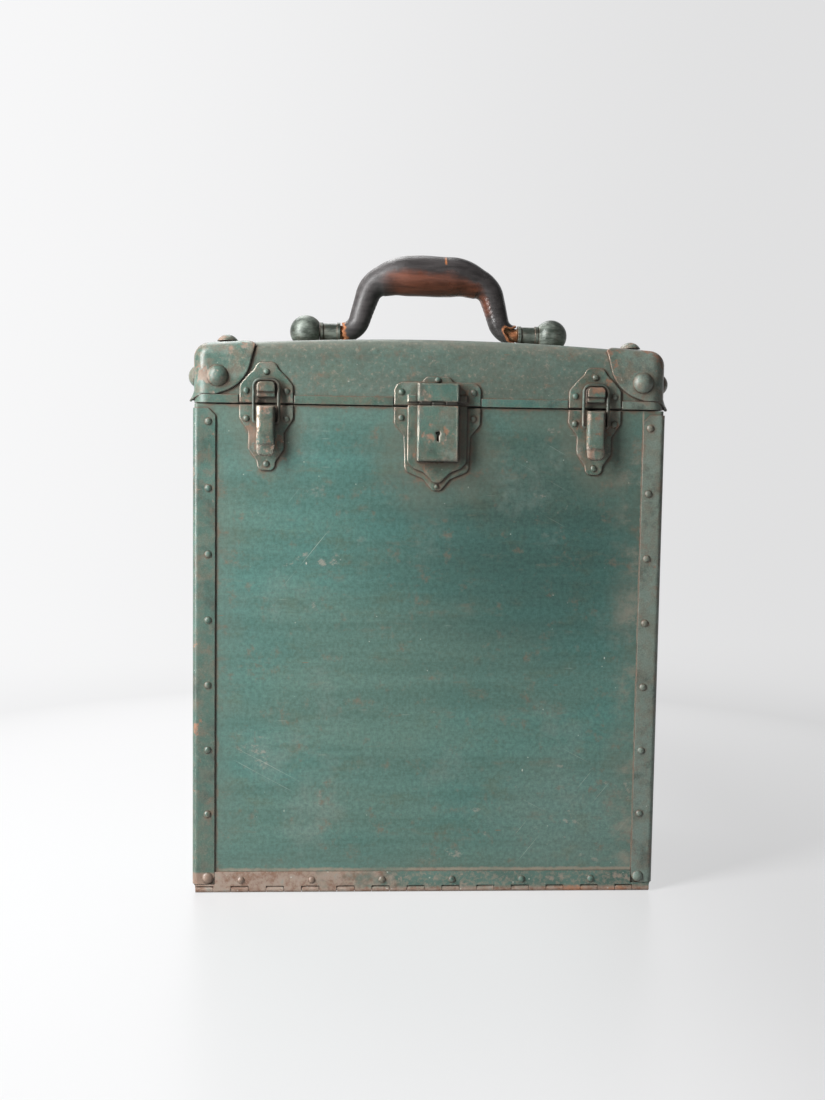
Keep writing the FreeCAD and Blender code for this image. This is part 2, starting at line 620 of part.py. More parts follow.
def latch_lever(x_mid):
    """Lever: a channel that is round at its pin, with a flat lip for the finger at its lower end."""
    half = LEVER_WIDTH / 2
    depth = LEVER_FRONT - LEVER_PIVOT_OUT
    back = LEVER_PIVOT_OUT - depth
    top = LEVER_AXIS_UP + depth
    lip_top = -LEVER_LENGTH + 3 * LEVER_SHEET
    lip_end = -LEVER_LENGTH - LEVER_LIP
    outline = [
        (back, top, depth * 0.99), (LEVER_FRONT, top, depth * 0.99),
        (LEVER_FRONT, -LEVER_LENGTH, LEVER_ROUND), (LEVER_FRONT - 3 * LEVER_SHEET, -LEVER_LENGTH, 0),
        (back, BAIL_AXIS_UP - depth, LEVER_ROUND),
    ]
    channel = side_plate(outline, x_mid - half, x_mid + half)
    inside = front_box(x_mid - half + LEVER_SHEET, x_mid + half - LEVER_SHEET, -1, LEVER_FRONT - LEVER_SHEET,
                       -LEVER_LENGTH - 1, top + 1)
    lip_out = LEVER_FRONT - 2.6 * LEVER_SHEET
    lip = side_plate([(lip_out, lip_top, 0), (lip_out + LEVER_SHEET, lip_top, 0),
                      (lip_out + 1.8 * LEVER_SHEET, lip_end, 0), (lip_out + 0.8 * LEVER_SHEET, lip_end, 0)],
                     x_mid - half + LEVER_SHEET / 2, x_mid + half - LEVER_SHEET / 2)
    lip_outline = mirrored_outline([(half, lip_top, 0), (half, lip_end, LIP_ROUND)])
    lip_edge = front_plate(lip_outline, 0, LOCK_FRONT * 2, x_mid)
    lever = channel.cut(inside).fuse(lip.common(lip_edge)).removeSplitter()
    lever = lever.cut(lever_bore(x_mid, LEVER_PIVOT_OUT, LEVER_AXIS_UP, LEVER_PIN_RADIUS + PIN_FIT))
    return lever.cut(lever_bore(x_mid, BAIL_PIVOT_OUT, BAIL_AXIS_UP, BAIL_WIRE_RADIUS + PIN_FIT))


def latch_bail(x_mid):
    """Wire bail: two ends turned into the lever, two legs and a bar across the keeper, in one bent wire."""
    end = LEVER_WIDTH / 2 - LEVER_SHEET
    leg = BAIL_SPACING / 2
    low_bend = BAIL_WIRE_RADIUS * 1.4

    def at(x, up):
        return front_point(x_mid + x, BAIL_PIVOT_OUT, up)

    def bend(x_sign, centre_x, centre_up, radius, angles):
        points = []
        for angle in angles:
            turn = math.radians(angle)
            x = x_sign * (centre_x + radius * math.cos(turn))
            points.append(at(x, centre_up + radius * math.sin(turn)))
        return Part.Arc(*points).toShape()

    low_x = leg - low_bend
    low_up = BAIL_AXIS_UP + low_bend
    high_x = leg - BAIL_BEND
    high_up = BAIL_TOP - BAIL_BEND
    edges = [
        Part.LineSegment(at(-end, BAIL_AXIS_UP), at(-low_x, BAIL_AXIS_UP)).toShape(),
        bend(-1, low_x, low_up, low_bend, (-90, -45, 0)),
        Part.LineSegment(at(-leg, low_up), at(-leg, high_up)).toShape(),
        bend(-1, high_x, high_up, BAIL_BEND, (0, 45, 90)),
        Part.LineSegment(at(-high_x, BAIL_TOP), at(high_x, BAIL_TOP)).toShape(),
        bend(1, high_x, high_up, BAIL_BEND, (90, 45, 0)),
        Part.LineSegment(at(leg, high_up), at(leg, low_up)).toShape(),
        bend(1, low_x, low_up, low_bend, (0, -45, -90)),
        Part.LineSegment(at(low_x, BAIL_AXIS_UP), at(end, BAIL_AXIS_UP)).toShape(),
    ]
    section = Part.Wire(Part.makeCircle(BAIL_WIRE_RADIUS, at(-end, BAIL_AXIS_UP), RIGHT))
    return Part.Wire(edges).makePipeShell([section], True, False)


def keeper_plate(x_mid):
    """Keeper on the lid: its half of the latch plate with a boss that the bail hooks over."""
    plate = lid_half(front_plate(LATCH_OUTLINE, 0, SHEET, x_mid))
    top = BAIL_TOP - BAIL_WIRE_RADIUS - BOSS_CLEARANCE
    half = BOSS_WIDTH / 2
    step_out = BOSS_FRONT - BOSS_LEDGE
    profile = [
        (SHEET / 2, BOSS_FOOT, 0), (step_out, BOSS_FOOT, BOSS_EDGE), (step_out, BOSS_STEP, 0),
        (BOSS_FRONT, BOSS_STEP, BOSS_EDGE), (BOSS_FRONT, top, BOSS_EDGE), (SHEET / 2, top, 0),
    ]
    boss = side_plate(profile, x_mid - half, x_mid + half)
    outline = mirrored_outline([(half, top, BOSS_ROUND), (half, BOSS_FOOT, BOSS_EDGE)])
    front_shape = front_plate(outline, 0, LOCK_FRONT, x_mid)
    return plate.fuse(boss.common(front_shape)).removeSplitter()


def drop_front():
    """Front panel with its angles, hinge leaf, latch bases, lock base and staple."""
    grip = SHEET + PANEL
    panel = box(-DOOR_HALF, DOOR_HALF, FRONT, FRONT + PANEL, DOOR_BOTTOM, CASE_HEIGHT)
    panel = round_upright_edges(panel, lambda p: p.y < FRONT + 0.1, CORNER_ROUND)
    angle_places = []
    foot_places = []
    for side, sign in SIDES:
        x = sign * (DOOR_HALF + SHEET - ANGLE_RIVET_INSET)
        angle_places += [(V(x, FRONT - SHEET, z), OUT) for z in angle_rivet_levels()]
        foot_places.append((V(x, FRONT - SHEET, FOOT_RIVET_LEVEL), OUT))
    angle_solids, angle_holes = rivets_and_holes(angle_places, grip)
    foot_solids, foot_holes = rivets_and_holes(foot_places, grip, FOOT_RIVET_RADIUS, FOOT_RIVET_HEIGHT)
    for side, sign in SIDES:
        angle = corner_angle(sign, DOOR_HALF, FRONT, False)
        save(f"front_angle_{side}", angle.cut(angle_holes + foot_holes))

    clear_z = HINGE_AXIS.z + BARREL_RADIUS + BARREL_CLEARANCE
    edge_x = DOOR_HALF + SHEET - ANGLE_LEG - JOINT_GAP
    plate = box(-edge_x, edge_x, FRONT - SHEET, FRONT, clear_z, LEAF_HEIGHT)
    strip = box(-HINGE_HALF, HINGE_HALF, FRONT - SHEET, FRONT, clear_z, ANGLE_FOOT - JOINT_GAP)
    plate = plate.fuse(strip)

    def tab(x0, x1):
        return box(x0, x1, FRONT - SHEET, FRONT, HINGE_AXIS.z, clear_z + SHEET / 2)

    middle = (LEAF_RIVET_COUNT - 1) / 2
    leaf_places = []
    for i in range(LEAF_RIVET_COUNT):
        x = LEAF_RIVET_SHIFT + (i - middle) * LEAF_RIVET_PITCH
        leaf_places.append((V(x, FRONT - SHEET, LEAF_RIVET_HEIGHT), OUT))
    leaf_solids, leaf_holes = rivets_and_holes(leaf_places, grip)
    save("front_hinge_door_leaf", hinge_leaf(plate, tab, 1).cut(leaf_holes))
    save("front_rivets", *angle_solids, *foot_solids, *leaf_solids)

    latch_solids = []
    latch_holes = []
    pins = []
    for side, sign in SIDES:
        x_mid = sign * LATCH_X
        solids, holes = rivets_and_holes(front_places(x_mid, LATCH_DOOR_RIVETS), grip, LATCH_RIVET_HEAD)
        latch_solids += solids
        latch_holes += holes
        save(f"latch_base_{side}", latch_base(x_mid).cut(holes))
        pin_start = front_point(x_mid - LEVER_WIDTH / 2 - LEVER_SHEET / 2, LEVER_PIVOT_OUT, LEVER_AXIS_UP)
        pins.append(rod(pin_start, pin_start + V(LEVER_WIDTH + LEVER_SHEET, 0, 0), LEVER_PIN_RADIUS))
        save(f"latch_lever_{side}", latch_lever(x_mid))
        save(f"latch_bail_{side}", latch_bail(x_mid))
    save("latch_pins", *pins)

    staple_x = HARDWARE_SHIFT + STAPLE_X
    side = STAPLE_SHEET / 2
    rise = STAPLE_HEIGHT / 2
    staple = front_box(staple_x - side, staple_x + side, 0, STAPLE_REACH,
                       STAPLE_LEVEL - rise, STAPLE_LEVEL + rise)
    side += HOLE_FIT
    rise += HOLE_FIT
    slot = front_box(staple_x - side, staple_x + side, -1, SHEET + 1,
                     STAPLE_LEVEL - rise, STAPLE_LEVEL + rise)
    bolt_back, bolt_front = bolt_out()
    eye_rise = BOLT_HEIGHT / 2 + BOLT_CLEARANCE
    eye = front_box(staple_x - STAPLE_SHEET, staple_x + STAPLE_SHEET,
                    bolt_back - BOLT_CLEARANCE, bolt_front + BOLT_CLEARANCE,
                    STAPLE_LEVEL - eye_rise, STAPLE_LEVEL + eye_rise)
    save("lock_staple", staple.cut(eye))
    ear_solids, ear_holes = rivets_and_holes(front_places(HARDWARE_SHIFT, LOCK_DOOR_RIVETS[:2]), grip,
                                             LATCH_RIVET_HEAD)
    tip_solids, tip_holes = rivets_and_holes(front_places(HARDWARE_SHIFT, LOCK_DOOR_RIVETS[2:]), grip,
                                             TIP_RIVET_HEAD)
    lock_holes = ear_holes + tip_holes
    base = door_half(front_plate(LOCK_OUTLINE, 0, SHEET, HARDWARE_SHIFT))
    save("lock_base", base.cut(lock_holes + [slot]))
    save("front_plate_rivets", *latch_solids, *ear_solids, *tip_solids)
    save("front_panel", panel.cut(angle_holes + foot_holes + leaf_holes + latch_holes + lock_holes))


def bolt_out():
    """Inner and outer face of the lock bolt, as distances in front of the front panel."""
    back = HASP_PLATE_GAP + 2 * SHEET + BOLT_SEAT
    return back, back + BOLT_DEPTH


def hasp_knuckles(spans, way):
    """Barrels on the hasp's axis, each with a web to the box above (way 1) or below (way -1)."""
    pieces = []
    for x0, x1 in spans:
        start = front_point(HARDWARE_SHIFT + x0, HASP_AXIS_OUT, HASP_AXIS_UP)
        pieces.append(rod(start, start + V(x1 - x0, 0, 0), HASP_BARREL_RADIUS))
        near, far = sorted((HASP_AXIS_UP, HASP_AXIS_UP + way * (HASP_HALF_GAP + LOCK_WALL / 2)))
        pieces.append(front_box(HARDWARE_SHIFT + x0, HARDWARE_SHIFT + x1, HASP_AXIS_OUT - HASP_AXIS_SET_BACK,
                                HASP_AXIS_OUT + HASP_BARREL_RADIUS / 2, near, far))
    return pieces


def hasp_bore():
    """Hole for the hasp's pin through all its barrels."""
    start = front_point(HARDWARE_SHIFT - LOCK_BOX_WIDTH, HASP_AXIS_OUT, HASP_AXIS_UP)
    return rod(start, start + V(2 * LOCK_BOX_WIDTH, 0, 0), HASP_PIN_RADIUS + PIN_FIT)


def lock_shell(out_back, up0, up1, barrels):
    """Pressed box with rounded front edges, open at the back, with its hinge barrels."""
    half = LOCK_BOX_WIDTH / 2
    outer = front_box(HARDWARE_SHIFT - half, HARDWARE_SHIFT + half, out_back, LOCK_FRONT, up0, up1)
    front_edges = []
    for edge in outer.Edges:
        if abs(edge.CenterOfMass.y - (FRONT - LOCK_FRONT)) < 1e-6:
            front_edges.append(edge)
    outer = outer.makeFillet(LOCK_WALL * 0.8, front_edges)
    inside = front_box(HARDWARE_SHIFT - half + LOCK_WALL, HARDWARE_SHIFT + half - LOCK_WALL, out_back - 1,
                       LOCK_FRONT - LOCK_WALL, up0 + LOCK_WALL, up1 - LOCK_WALL)
    return outer.cut(inside).fuse(barrels).removeSplitter().cut(hasp_bore())


def hasp():
    """Hasp plate with the lock's cover, bolt guide, key post and sliding bolt."""
    back = SHEET + HASP_PLATE_GAP
    face = back + SHEET
    staple_x = HARDWARE_SHIFT + STAPLE_X
    slot_side = STAPLE_SHEET / 2 + 2 * HOLE_FIT
    slot = front_box(staple_x - slot_side, staple_x + slot_side, 0, face + 1,
                     STAPLE_LEVEL - STAPLE_HEIGHT / 2 - 2 * BOLT_CLEARANCE,
                     STAPLE_LEVEL + STAPLE_HEIGHT / 2 + 6 * BOLT_CLEARANCE)
    save("hasp_plate", front_plate(HASP_OUTLINE, back, face, HARDWARE_SHIFT).cut(slot))

    third = LOCK_BOX_WIDTH / 3
    middle = [(-third / 2 + KNUCKLE_GAP / 2, third / 2 - KNUCKLE_GAP / 2)]
    cover = lock_shell(face, LOCK_BOX_BOTTOM, HASP_AXIS_UP - HASP_HALF_GAP, hasp_knuckles(middle, -1))
    key_up = KEYHOLE_TOP - KEYHOLE_RADIUS
    key_start = front_point(HARDWARE_SHIFT, face, key_up)
    keyhole = rod(key_start, key_start + OUT * LOCK_FRONT, KEYHOLE_RADIUS)
    slot_half = KEYHOLE_RADIUS / 2
    key_slot = front_box(HARDWARE_SHIFT - slot_half, HARDWARE_SHIFT + slot_half, face, LOCK_FRONT + 1,
                         key_up - KEYHOLE_LENGTH, key_up)
    save("lock_cover", cover.cut([keyhole, key_slot]))
    save("key_post", rod(key_start, key_start + OUT * (LOCK_FRONT - LOCK_WALL - face), slot_half))

    bolt_end = staple_x - STAPLE_SHEET / 2 - BOLT_CLEARANCE
    bolt_back, bolt_front = bolt_out()
    rise = BOLT_HEIGHT / 2
    bolt = front_box(bolt_end - BOLT_LENGTH, bolt_end, bolt_back, bolt_front,
                     STAPLE_LEVEL - rise, STAPLE_LEVEL + rise)
    save("lock_bolt", bolt)
    guide_right = bolt_end - 2 * SHEET
    guide_left = guide_right - BOLT_LENGTH + BOLT_TRAVEL
    channel_rise = rise + HOLE_FIT
    guide_rise = channel_rise + SHEET
    guide = front_box(guide_left, guide_right, face, bolt_front + HOLE_FIT + SHEET,
                      STAPLE_LEVEL - guide_rise, STAPLE_LEVEL + guide_rise)
    channel = front_box(guide_left - 1, guide_right + 1, bolt_back - HOLE_FIT, bolt_front + HOLE_FIT,
                        STAPLE_LEVEL - channel_rise, STAPLE_LEVEL + channel_rise)
    save("lock_bolt_guide", guide.cut(channel))


def dome_top(x, y, above=0.0):
    """Height of the lid's crowned top at a place, or of a surface a given distance above it."""
    return CROWN_Z - DOME_RADIUS + math.sqrt((DOME_RADIUS + above) ** 2 - x ** 2 - y ** 2)


def lid_blank(extra):
    """The lid's outer form, grown by extra on every face: a box under a large sphere with rounded edges."""
    half_w = HALF_W + extra
    half_d = HALF_D + extra
    block = box(-half_w, half_w, -half_d, half_d, LID_BASE, CROWN_Z + extra + 1)
    block = block.common(Part.makeSphere(DOME_RADIUS + extra, V(0, 0, CROWN_Z - DOME_RADIUS)))
    block = round_upright_edges(block, lambda p: True, LID_EDGE_ROUND + extra)
    top_edges = [edge for edge in block.Edges if edge.BoundBox.ZMin > LID_BASE + LID_BOARD_HEIGHT / 2]
    return block.makeFillet((LID_EDGE_ROUND + extra) * 0.98, top_edges)


def cap_region():
    """Space that the right front corner cap fills: outlines seen from the front, the side and the top."""
    foot = PART_GAP + BAND_HEIGHT + JOINT_GAP
    high = LID_CROWN + CAP_REACH
    margin = CAP_REACH / 4
    lean = (CAP_REACH - CAP_WAIST_IN) / (LID_CROWN - CAP_WAIST_UP)
    high_in = CAP_REACH + (high - LID_CROWN) * lean
    outline = [(-margin, high, 0), (high_in, high, 0), (CAP_WAIST_IN, CAP_WAIST_UP, CAP_WAIST_BEND),
               (CAP_FOOT_IN, foot, CAP_FOOT_BEND), (-margin, foot, 0)]
    out_x = HALF_W + margin
    out_y = FRONT - margin
    front_wire = rounded_wire(outline, lambda inward, up: V(HALF_W - inward, out_y, CASE_HEIGHT + up))
    side_wire = rounded_wire(outline, lambda inward, up: V(out_x, FRONT + inward, CASE_HEIGHT + up))
    corner = V(out_x, out_y, LID_BASE)
    along = 2 * margin + CAP_REACH
    top_wire = Part.makePolygon([corner, corner - V(along, 0, 0), corner + V(0, along, 0), corner])
    span = 3 * CAP_REACH
    front_solid = Part.Face(front_wire).extrude(V(0, span, 0))
    side_solid = Part.Face(side_wire).extrude(V(-span, 0, 0))
    top_solid = Part.Face(top_wire).extrude(V(0, 0, high))
    return front_solid.common(side_solid).common(top_solid)


def corner_copies(shape):
    """A piece from the right front corner, with its mirror images at the other three corners."""
    left = shape.mirror(V(0, 0, 0), V(1, 0, 0))
    back = V(0, 1, 0)
    return {"front_right": shape, "front_left": left,
            "back_right": shape.mirror(V(0, 0, 0), back), "back_left": left.mirror(V(0, 0, 0), back)}


def lid():
    """Lid boards, crowned top, band, corner caps, keepers, lock plate and handle posts."""
    grip = SHEET + PANEL
    blank = lid_blank(0.0)
    cap = lid_blank(CAP_SHEET).cut(blank).common(cap_region())

    cap_grip = CAP_SHEET + PANEL
    rivet_x = HALF_W - DOME_RIVET_INSET
    rivet_y = FRONT + DOME_RIVET_INSET
    rivet_z = CASE_HEIGHT + DOME_RIVET_LEVEL
    top_x = HALF_W - DOME_RIVET_TOP_INSET
    top_y = FRONT + DOME_RIVET_TOP_INSET
    top_seat = dome_top(top_x - DOME_RIVET_RADIUS, top_y + DOME_RIVET_RADIUS, CAP_SHEET)
    top_grip = top_seat - LID_SEAT
    places = [(V(rivet_x, FRONT - CAP_SHEET, rivet_z), OUT, cap_grip),
              (V(HALF_W + CAP_SHEET, rivet_y, rivet_z), RIGHT, cap_grip),
              (V(top_x, top_y, top_seat), UP, top_grip)]
    cap_holes = []
    dome_rivets = []
    for seat, outward, depth in places:
        cap_holes += corner_copies(rivet_hole(seat, outward, depth)).values()
        dome = rivet(seat, outward, depth, DOME_RIVET_RADIUS, DOME_RIVET_HEIGHT)
        dome_rivets += corner_copies(dome).values()
    for corner, solid in corner_copies(cap).items():
        save(f"lid_cap_{corner}", solid.cut(cap_holes))
    save("lid_cap_rivets", *dome_rivets)

    keeper_rivets = []
    front_holes = []
    band_cuts = []
    latch_reach = max(x for x, up, radius in LATCH_OUTLINE) + BAND_CLEARANCE
    for side, sign in SIDES:
        x_mid = sign * LATCH_X
        solids, holes = rivets_and_holes(front_places(x_mid, LATCH_LID_RIVETS), grip, LATCH_RIVET_HEAD)
        keeper_rivets += solids
        front_holes += holes
        save(f"latch_keeper_{side}", keeper_plate(x_mid).cut(holes))
        band_cuts.append(front_box(x_mid - latch_reach, x_mid + latch_reach, 0, LOCK_FRONT, 0, FAR_UP))
        hinge_reach = BACK_LEAF_WIDTH / 2 + BAND_CLEARANCE
        band_cuts.append(box(sign * BACK_HINGE_X - hinge_reach, sign * BACK_HINGE_X + hinge_reach, HALF_D,
                             HALF_D + LOCK_FRONT, LID_BASE - 1, LID_SEAT))

    lock_half = LOCK_BOX_WIDTH / 2
    lock_reach = max(x for x, up, radius in LOCK_OUTLINE) + BAND_CLEARANCE
    band_cuts.append(front_box(HARDWARE_SHIFT - lock_reach, HARDWARE_SHIFT + lock_reach,
                               0, LOCK_FRONT, 0, FAR_UP))
    hasp_side = max(x for x, up, radius in HASP_OUTLINE)
    raised_foot = HASP_AXIS_UP + HASP_HALF_GAP
    raised = front_box(HARDWARE_SHIFT - hasp_side, HARDWARE_SHIFT + hasp_side, SHEET / 2,
                       2 * SHEET + HASP_PLATE_GAP, raised_foot, raised_foot + LOCK_BOX_WIDTH / 6)
    knuckle_seat = front_box(HARDWARE_SHIFT - lock_half, HARDWARE_SHIFT + lock_half,
                             SHEET, LOCK_FRONT, 0, FAR_UP)
    lock_places = front_places(HARDWARE_SHIFT, LOCK_LID_RIVETS)
    lock_solids, lock_holes = rivets_and_holes(lock_places, grip, LATCH_RIVET_HEAD)
    front_holes += lock_holes
    plate = lid_half(front_plate(LOCK_OUTLINE, 0, SHEET, HARDWARE_SHIFT))
    save("lock_lid_plate", plate.fuse(raised.cut(knuckle_seat)).removeSplitter().cut(lock_holes))
    third = LOCK_BOX_WIDTH / 3
    inner_end = third / 2 + KNUCKLE_GAP / 2
    outer_end = lock_half - LOCK_WALL
    outer_spans = [(-outer_end, -inner_end), (inner_end, outer_end)]
    save("lock_knuckle_box", lock_shell(SHEET, raised_foot, KNUCKLE_BOX_TOP, hasp_knuckles(outer_spans, 1)))
    pin_half = V(outer_end, 0, 0)
    pin_mid = front_point(HARDWARE_SHIFT, HASP_AXIS_OUT, HASP_AXIS_UP)
    save("hasp_pin", rod(pin_mid - pin_half, pin_mid + pin_half, HASP_PIN_RADIUS))

    hinge_solids, hinge_holes = save_back_hinge_leaves("lid")
    save("lid_plate_rivets", *keeper_rivets, *lock_solids, *hinge_solids)
    outer = box(-HALF_W - BAND_PROUD, HALF_W + BAND_PROUD, FRONT - BAND_PROUD, HALF_D + BAND_PROUD,
                LID_BASE, LID_BASE + BAND_HEIGHT)
    outer = round_upright_edges(outer, lambda p: True, LID_EDGE_ROUND + BAND_PROUD)
    save("lid_band", outer.cut([blank] + band_cuts))

    post_holes = save_posts()
    all_holes = cap_holes + front_holes + hinge_holes + post_holes
    below = box(-CASE_WIDTH, CASE_WIDTH, -CASE_DEPTH, CASE_DEPTH, 0, LID_SEAT)
    save("lid_top_board", blank.cut(below).cut(all_holes))
    rim = blank.common(below)
    wide = CASE_WIDTH
    tall = (LID_BASE - 1, LID_SEAT + 1)
    boards = {
        "front": box(-wide, wide, -CASE_DEPTH, FRONT + PANEL, *tall),
        "back": box(-wide, wide, HALF_D - PANEL, CASE_DEPTH, *tall),
        "left": box(-wide, -INNER_W, FRONT + PANEL, HALF_D - PANEL, *tall),
        "right": box(INNER_W, wide, FRONT + PANEL, HALF_D - PANEL, *tall),
    }
    for side, space in boards.items():
        save(f"lid_{side}_board", rim.common(space).cut(all_holes))


def save_posts():
    """Ball posts for the handle with their bolts. Returns the bolt holes in the lid's top."""
    dome = Part.makeSphere(DOME_RADIUS, V(0, 0, CROWN_Z - DOME_RADIUS))
    bolts = []
    holes = []
    for side, sign in SIDES:
        x = HARDWARE_SHIFT + sign * POST_X
        centre = V(x, 0, HANDLE_Z)
        foot = V(x, 0, LID_SEAT)
        post = Part.makeSphere(POST_BALL_RADIUS, centre)
        post = post.fuse(rod(foot, centre, POST_FOOT_RADIUS)).removeSplitter()
        flat = V(HARDWARE_SHIFT + sign * post_flat_x(), 0, HANDLE_Z)
        bore = rod(flat - V(sign, 0, 0), flat + V(sign * TRUNNION_DEPTH, 0, 0), TRUNNION_RADIUS + PIN_FIT)
        x0, x1 = sorted((flat.x, flat.x - sign * POST_BALL_RADIUS))
        inner = box(x0, x1, -POST_BALL_RADIUS, POST_BALL_RADIUS, LID_SEAT, HANDLE_Z + POST_BALL_RADIUS)
        surface = dome_top(x, 0)
        bolt_top = V(x, 0, surface + POST_BOLT_DEPTH)
        bolt_end = V(x, 0, LID_SEAT - POST_NUT_HEIGHT - SHEET)
        hole = rod(bolt_end, bolt_top + UP * HOLE_FIT, POST_BOLT_RADIUS + HOLE_FIT)
        save(f"handle_post_{side}", post.cut([dome, bore, inner, hole]))
        nut_points = []
        for i in range(7):
            turn = math.radians(60 * i)
            nut_points.append(V(x + POST_NUT_RADIUS * math.cos(turn), POST_NUT_RADIUS * math.sin(turn),
                                LID_SEAT - POST_NUT_HEIGHT))
        nut = Part.Face(Part.makePolygon(nut_points)).extrude(UP * POST_NUT_HEIGHT)
        bolts.append(rod(bolt_end, bolt_top, POST_BOLT_RADIUS).fuse(nut).removeSplitter())
        holes.append(hole)
    save("handle_post_bolts", *bolts)
    return holes


def post_flat_x():
    """Distance from the handle's middle to the flat on a post's inner side."""
    return POST_X - math.sqrt(POST_BALL_RADIUS ** 2 - FERRULE_RADIUS ** 2)


def handle_path():
    """The handle's centre line: an open path of straight runs and tangent arcs, from left to right."""
    end_x = post_flat_x() + TRUNNION_DEPTH - SHEET / 2
    right = [(end_x, 0.0, 0.0), (GRIP_FOOT_X, 0.0, GRIP_FOOT_BEND),
             (GRIP_HEAD_X, GRIP_HEAD_UP, GRIP_HEAD_BEND), (GRIP_CROWN_X, GRIP_CROWN_UP, GRIP_CROWN_BEND)]
    left = [(-x, up, radius) for x, up, radius in right]
    points = left + right[::-1]
    edges = []
    last = None
    for i, (x, up, radius) in enumerate(points):
        here = V(HARDWARE_SHIFT + x, 0, HANDLE_Z + up)
        if radius == 0:
            begin = finish = here
        else:
            before = V(points[i - 1][0] - x, 0, points[i - 1][1] - up)
            after = V(points[i + 1][0] - x, 0, points[i + 1][1] - up)
            half = before.getAngle(after) / 2
            before.normalize()
            after.normalize()
            begin = here + before * (radius / math.tan(half))
            finish = here + after * (radius / math.tan(half))
            inward = before + after
            inward.normalize()
            middle = here + inward * (radius / math.sin(half) - radius)
        if last is not None:
            edges.append(Part.LineSegment(last, begin).toShape())
        if radius > 0:
            edges.append(Part.Arc(begin, middle, finish).toShape())
        last = finish
    return Part.Wire(edges)


def along_path(path, length):
    """Place on a path at a length from its start, with the path's direction there."""
    for edge in path.OrderedEdges:
        if length <= edge.Length:
            break
        length -= edge.Length
    turn = edge.getParameterByLength(length)
    return edge.valueAt(turn), edge.tangentAt(turn)


def grip_radius(share):
    """Radius of the grip at a share of the way from its end (0) to its middle (1)."""
    for (s0, r0), (s1, r1) in zip(GRIP_STATIONS, GRIP_STATIONS[1:]):
        if share <= s1:
            part = (share - s0) / (s1 - s0)
            return r0 + (r1 - r0) * part
    return GRIP_MID_RADIUS


def handle():
    """Leather grip on a bent steel core, with a ferrule at each end."""
    path = handle_path()
    start = path.OrderedVertexes[0].Point
    section = Part.Wire(Part.makeCircle(TRUNNION_RADIUS, start, RIGHT))
    core = path.makePipeShell([section], True, False)
    save("handle_core", core)
    lead = start.distanceToPoint(V(HARDWARE_SHIFT - FERRULE_INNER_X, 0, HANDLE_Z))
    run = path.Length - 2 * lead
    rings = []
    for share in steps(0.0, 1.0, GRIP_RINGS):
        place, forward = along_path(path, lead + run * share)
        radius = grip_radius(1 - abs(2 * share - 1))
        rings.append(Part.Wire(Part.makeCircle(radius, place, forward)))
    grip = Part.makeLoft(rings, True, False)
    save("handle_grip", grip.cut(core))

    ferrules = []
    for side, sign in SIDES:
        inner = V(HARDWARE_SHIFT + sign * FERRULE_INNER_X, 0, HANDLE_Z)
        outer = V(HARDWARE_SHIFT + sign * (post_flat_x() - JOINT_GAP), 0, HANDLE_Z)
        along = outer - inner
        along.normalize()
        collar = 2.5 * SHEET
        body = rod(inner, outer, FERRULE_RADIUS - SHEET * 0.7)
        ends = [rod(inner, inner + along * collar, FERRULE_RADIUS),
                rod(outer - along * collar, outer, FERRULE_RADIUS)]
        ferrules.append(body.fuse(ends).removeSplitter().cut(core))
    save("handle_ferrules", *ferrules)


os.makedirs("parts", exist_ok=True)
case_body()
drop_front()
hasp()
lid()
handle()
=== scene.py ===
"""Looks of an old green carrying case: aged paint, worn steel, a torn leather grip, and the studio round it.

Sizes are in metres, in the frame of the construction: origin at the middle of the base, +X to the right
of the front, +Y to the back, +Z up.
"""
import json
import math

import bpy
import numpy as np
from bpy.props import FloatProperty, FloatVectorProperty, IntProperty, PointerProperty
from mathutils import Matrix, Vector


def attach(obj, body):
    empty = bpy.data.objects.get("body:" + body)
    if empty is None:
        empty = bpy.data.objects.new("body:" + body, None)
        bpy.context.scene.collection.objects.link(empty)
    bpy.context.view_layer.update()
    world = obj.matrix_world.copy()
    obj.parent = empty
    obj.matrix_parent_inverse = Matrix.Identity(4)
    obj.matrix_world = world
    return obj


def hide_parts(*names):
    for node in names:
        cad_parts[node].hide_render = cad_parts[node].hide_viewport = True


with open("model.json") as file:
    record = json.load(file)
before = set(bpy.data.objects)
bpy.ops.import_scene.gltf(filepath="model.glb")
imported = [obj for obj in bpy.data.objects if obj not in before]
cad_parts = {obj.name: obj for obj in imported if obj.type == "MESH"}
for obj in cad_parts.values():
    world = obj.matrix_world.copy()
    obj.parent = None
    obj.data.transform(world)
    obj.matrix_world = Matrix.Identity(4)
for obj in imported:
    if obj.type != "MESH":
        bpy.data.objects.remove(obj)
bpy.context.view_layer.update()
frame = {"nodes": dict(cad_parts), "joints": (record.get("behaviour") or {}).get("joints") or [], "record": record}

bl_info = {
    "name": "Old Green Case",
    "version": (1, 0, 0),
    "blender": (4, 5, 0),
    "location": "3D View > Sidebar > Case",
    "description": "Finishes an old painted carrying case and sets up its studio",
    "category": "Object",
}

MM = 0.001
# Tilt of the corner test towards the window on the left, so that it darkens the side of raised parts facing away:
# painted shadow.
SHADOW_LEAN = (-0.6, 0.0, 0.4)


def colour(name, text, default):
    """A colour that a user can change."""
    return FloatVectorProperty(name=name, description=text, subtype="COLOR", size=3, min=0.0, max=1.0,
                               default=default)


def length(name, text, default):
    """A length that a user can change."""
    return FloatProperty(name=name, description=text, subtype="DISTANCE", unit="LENGTH", default=default)


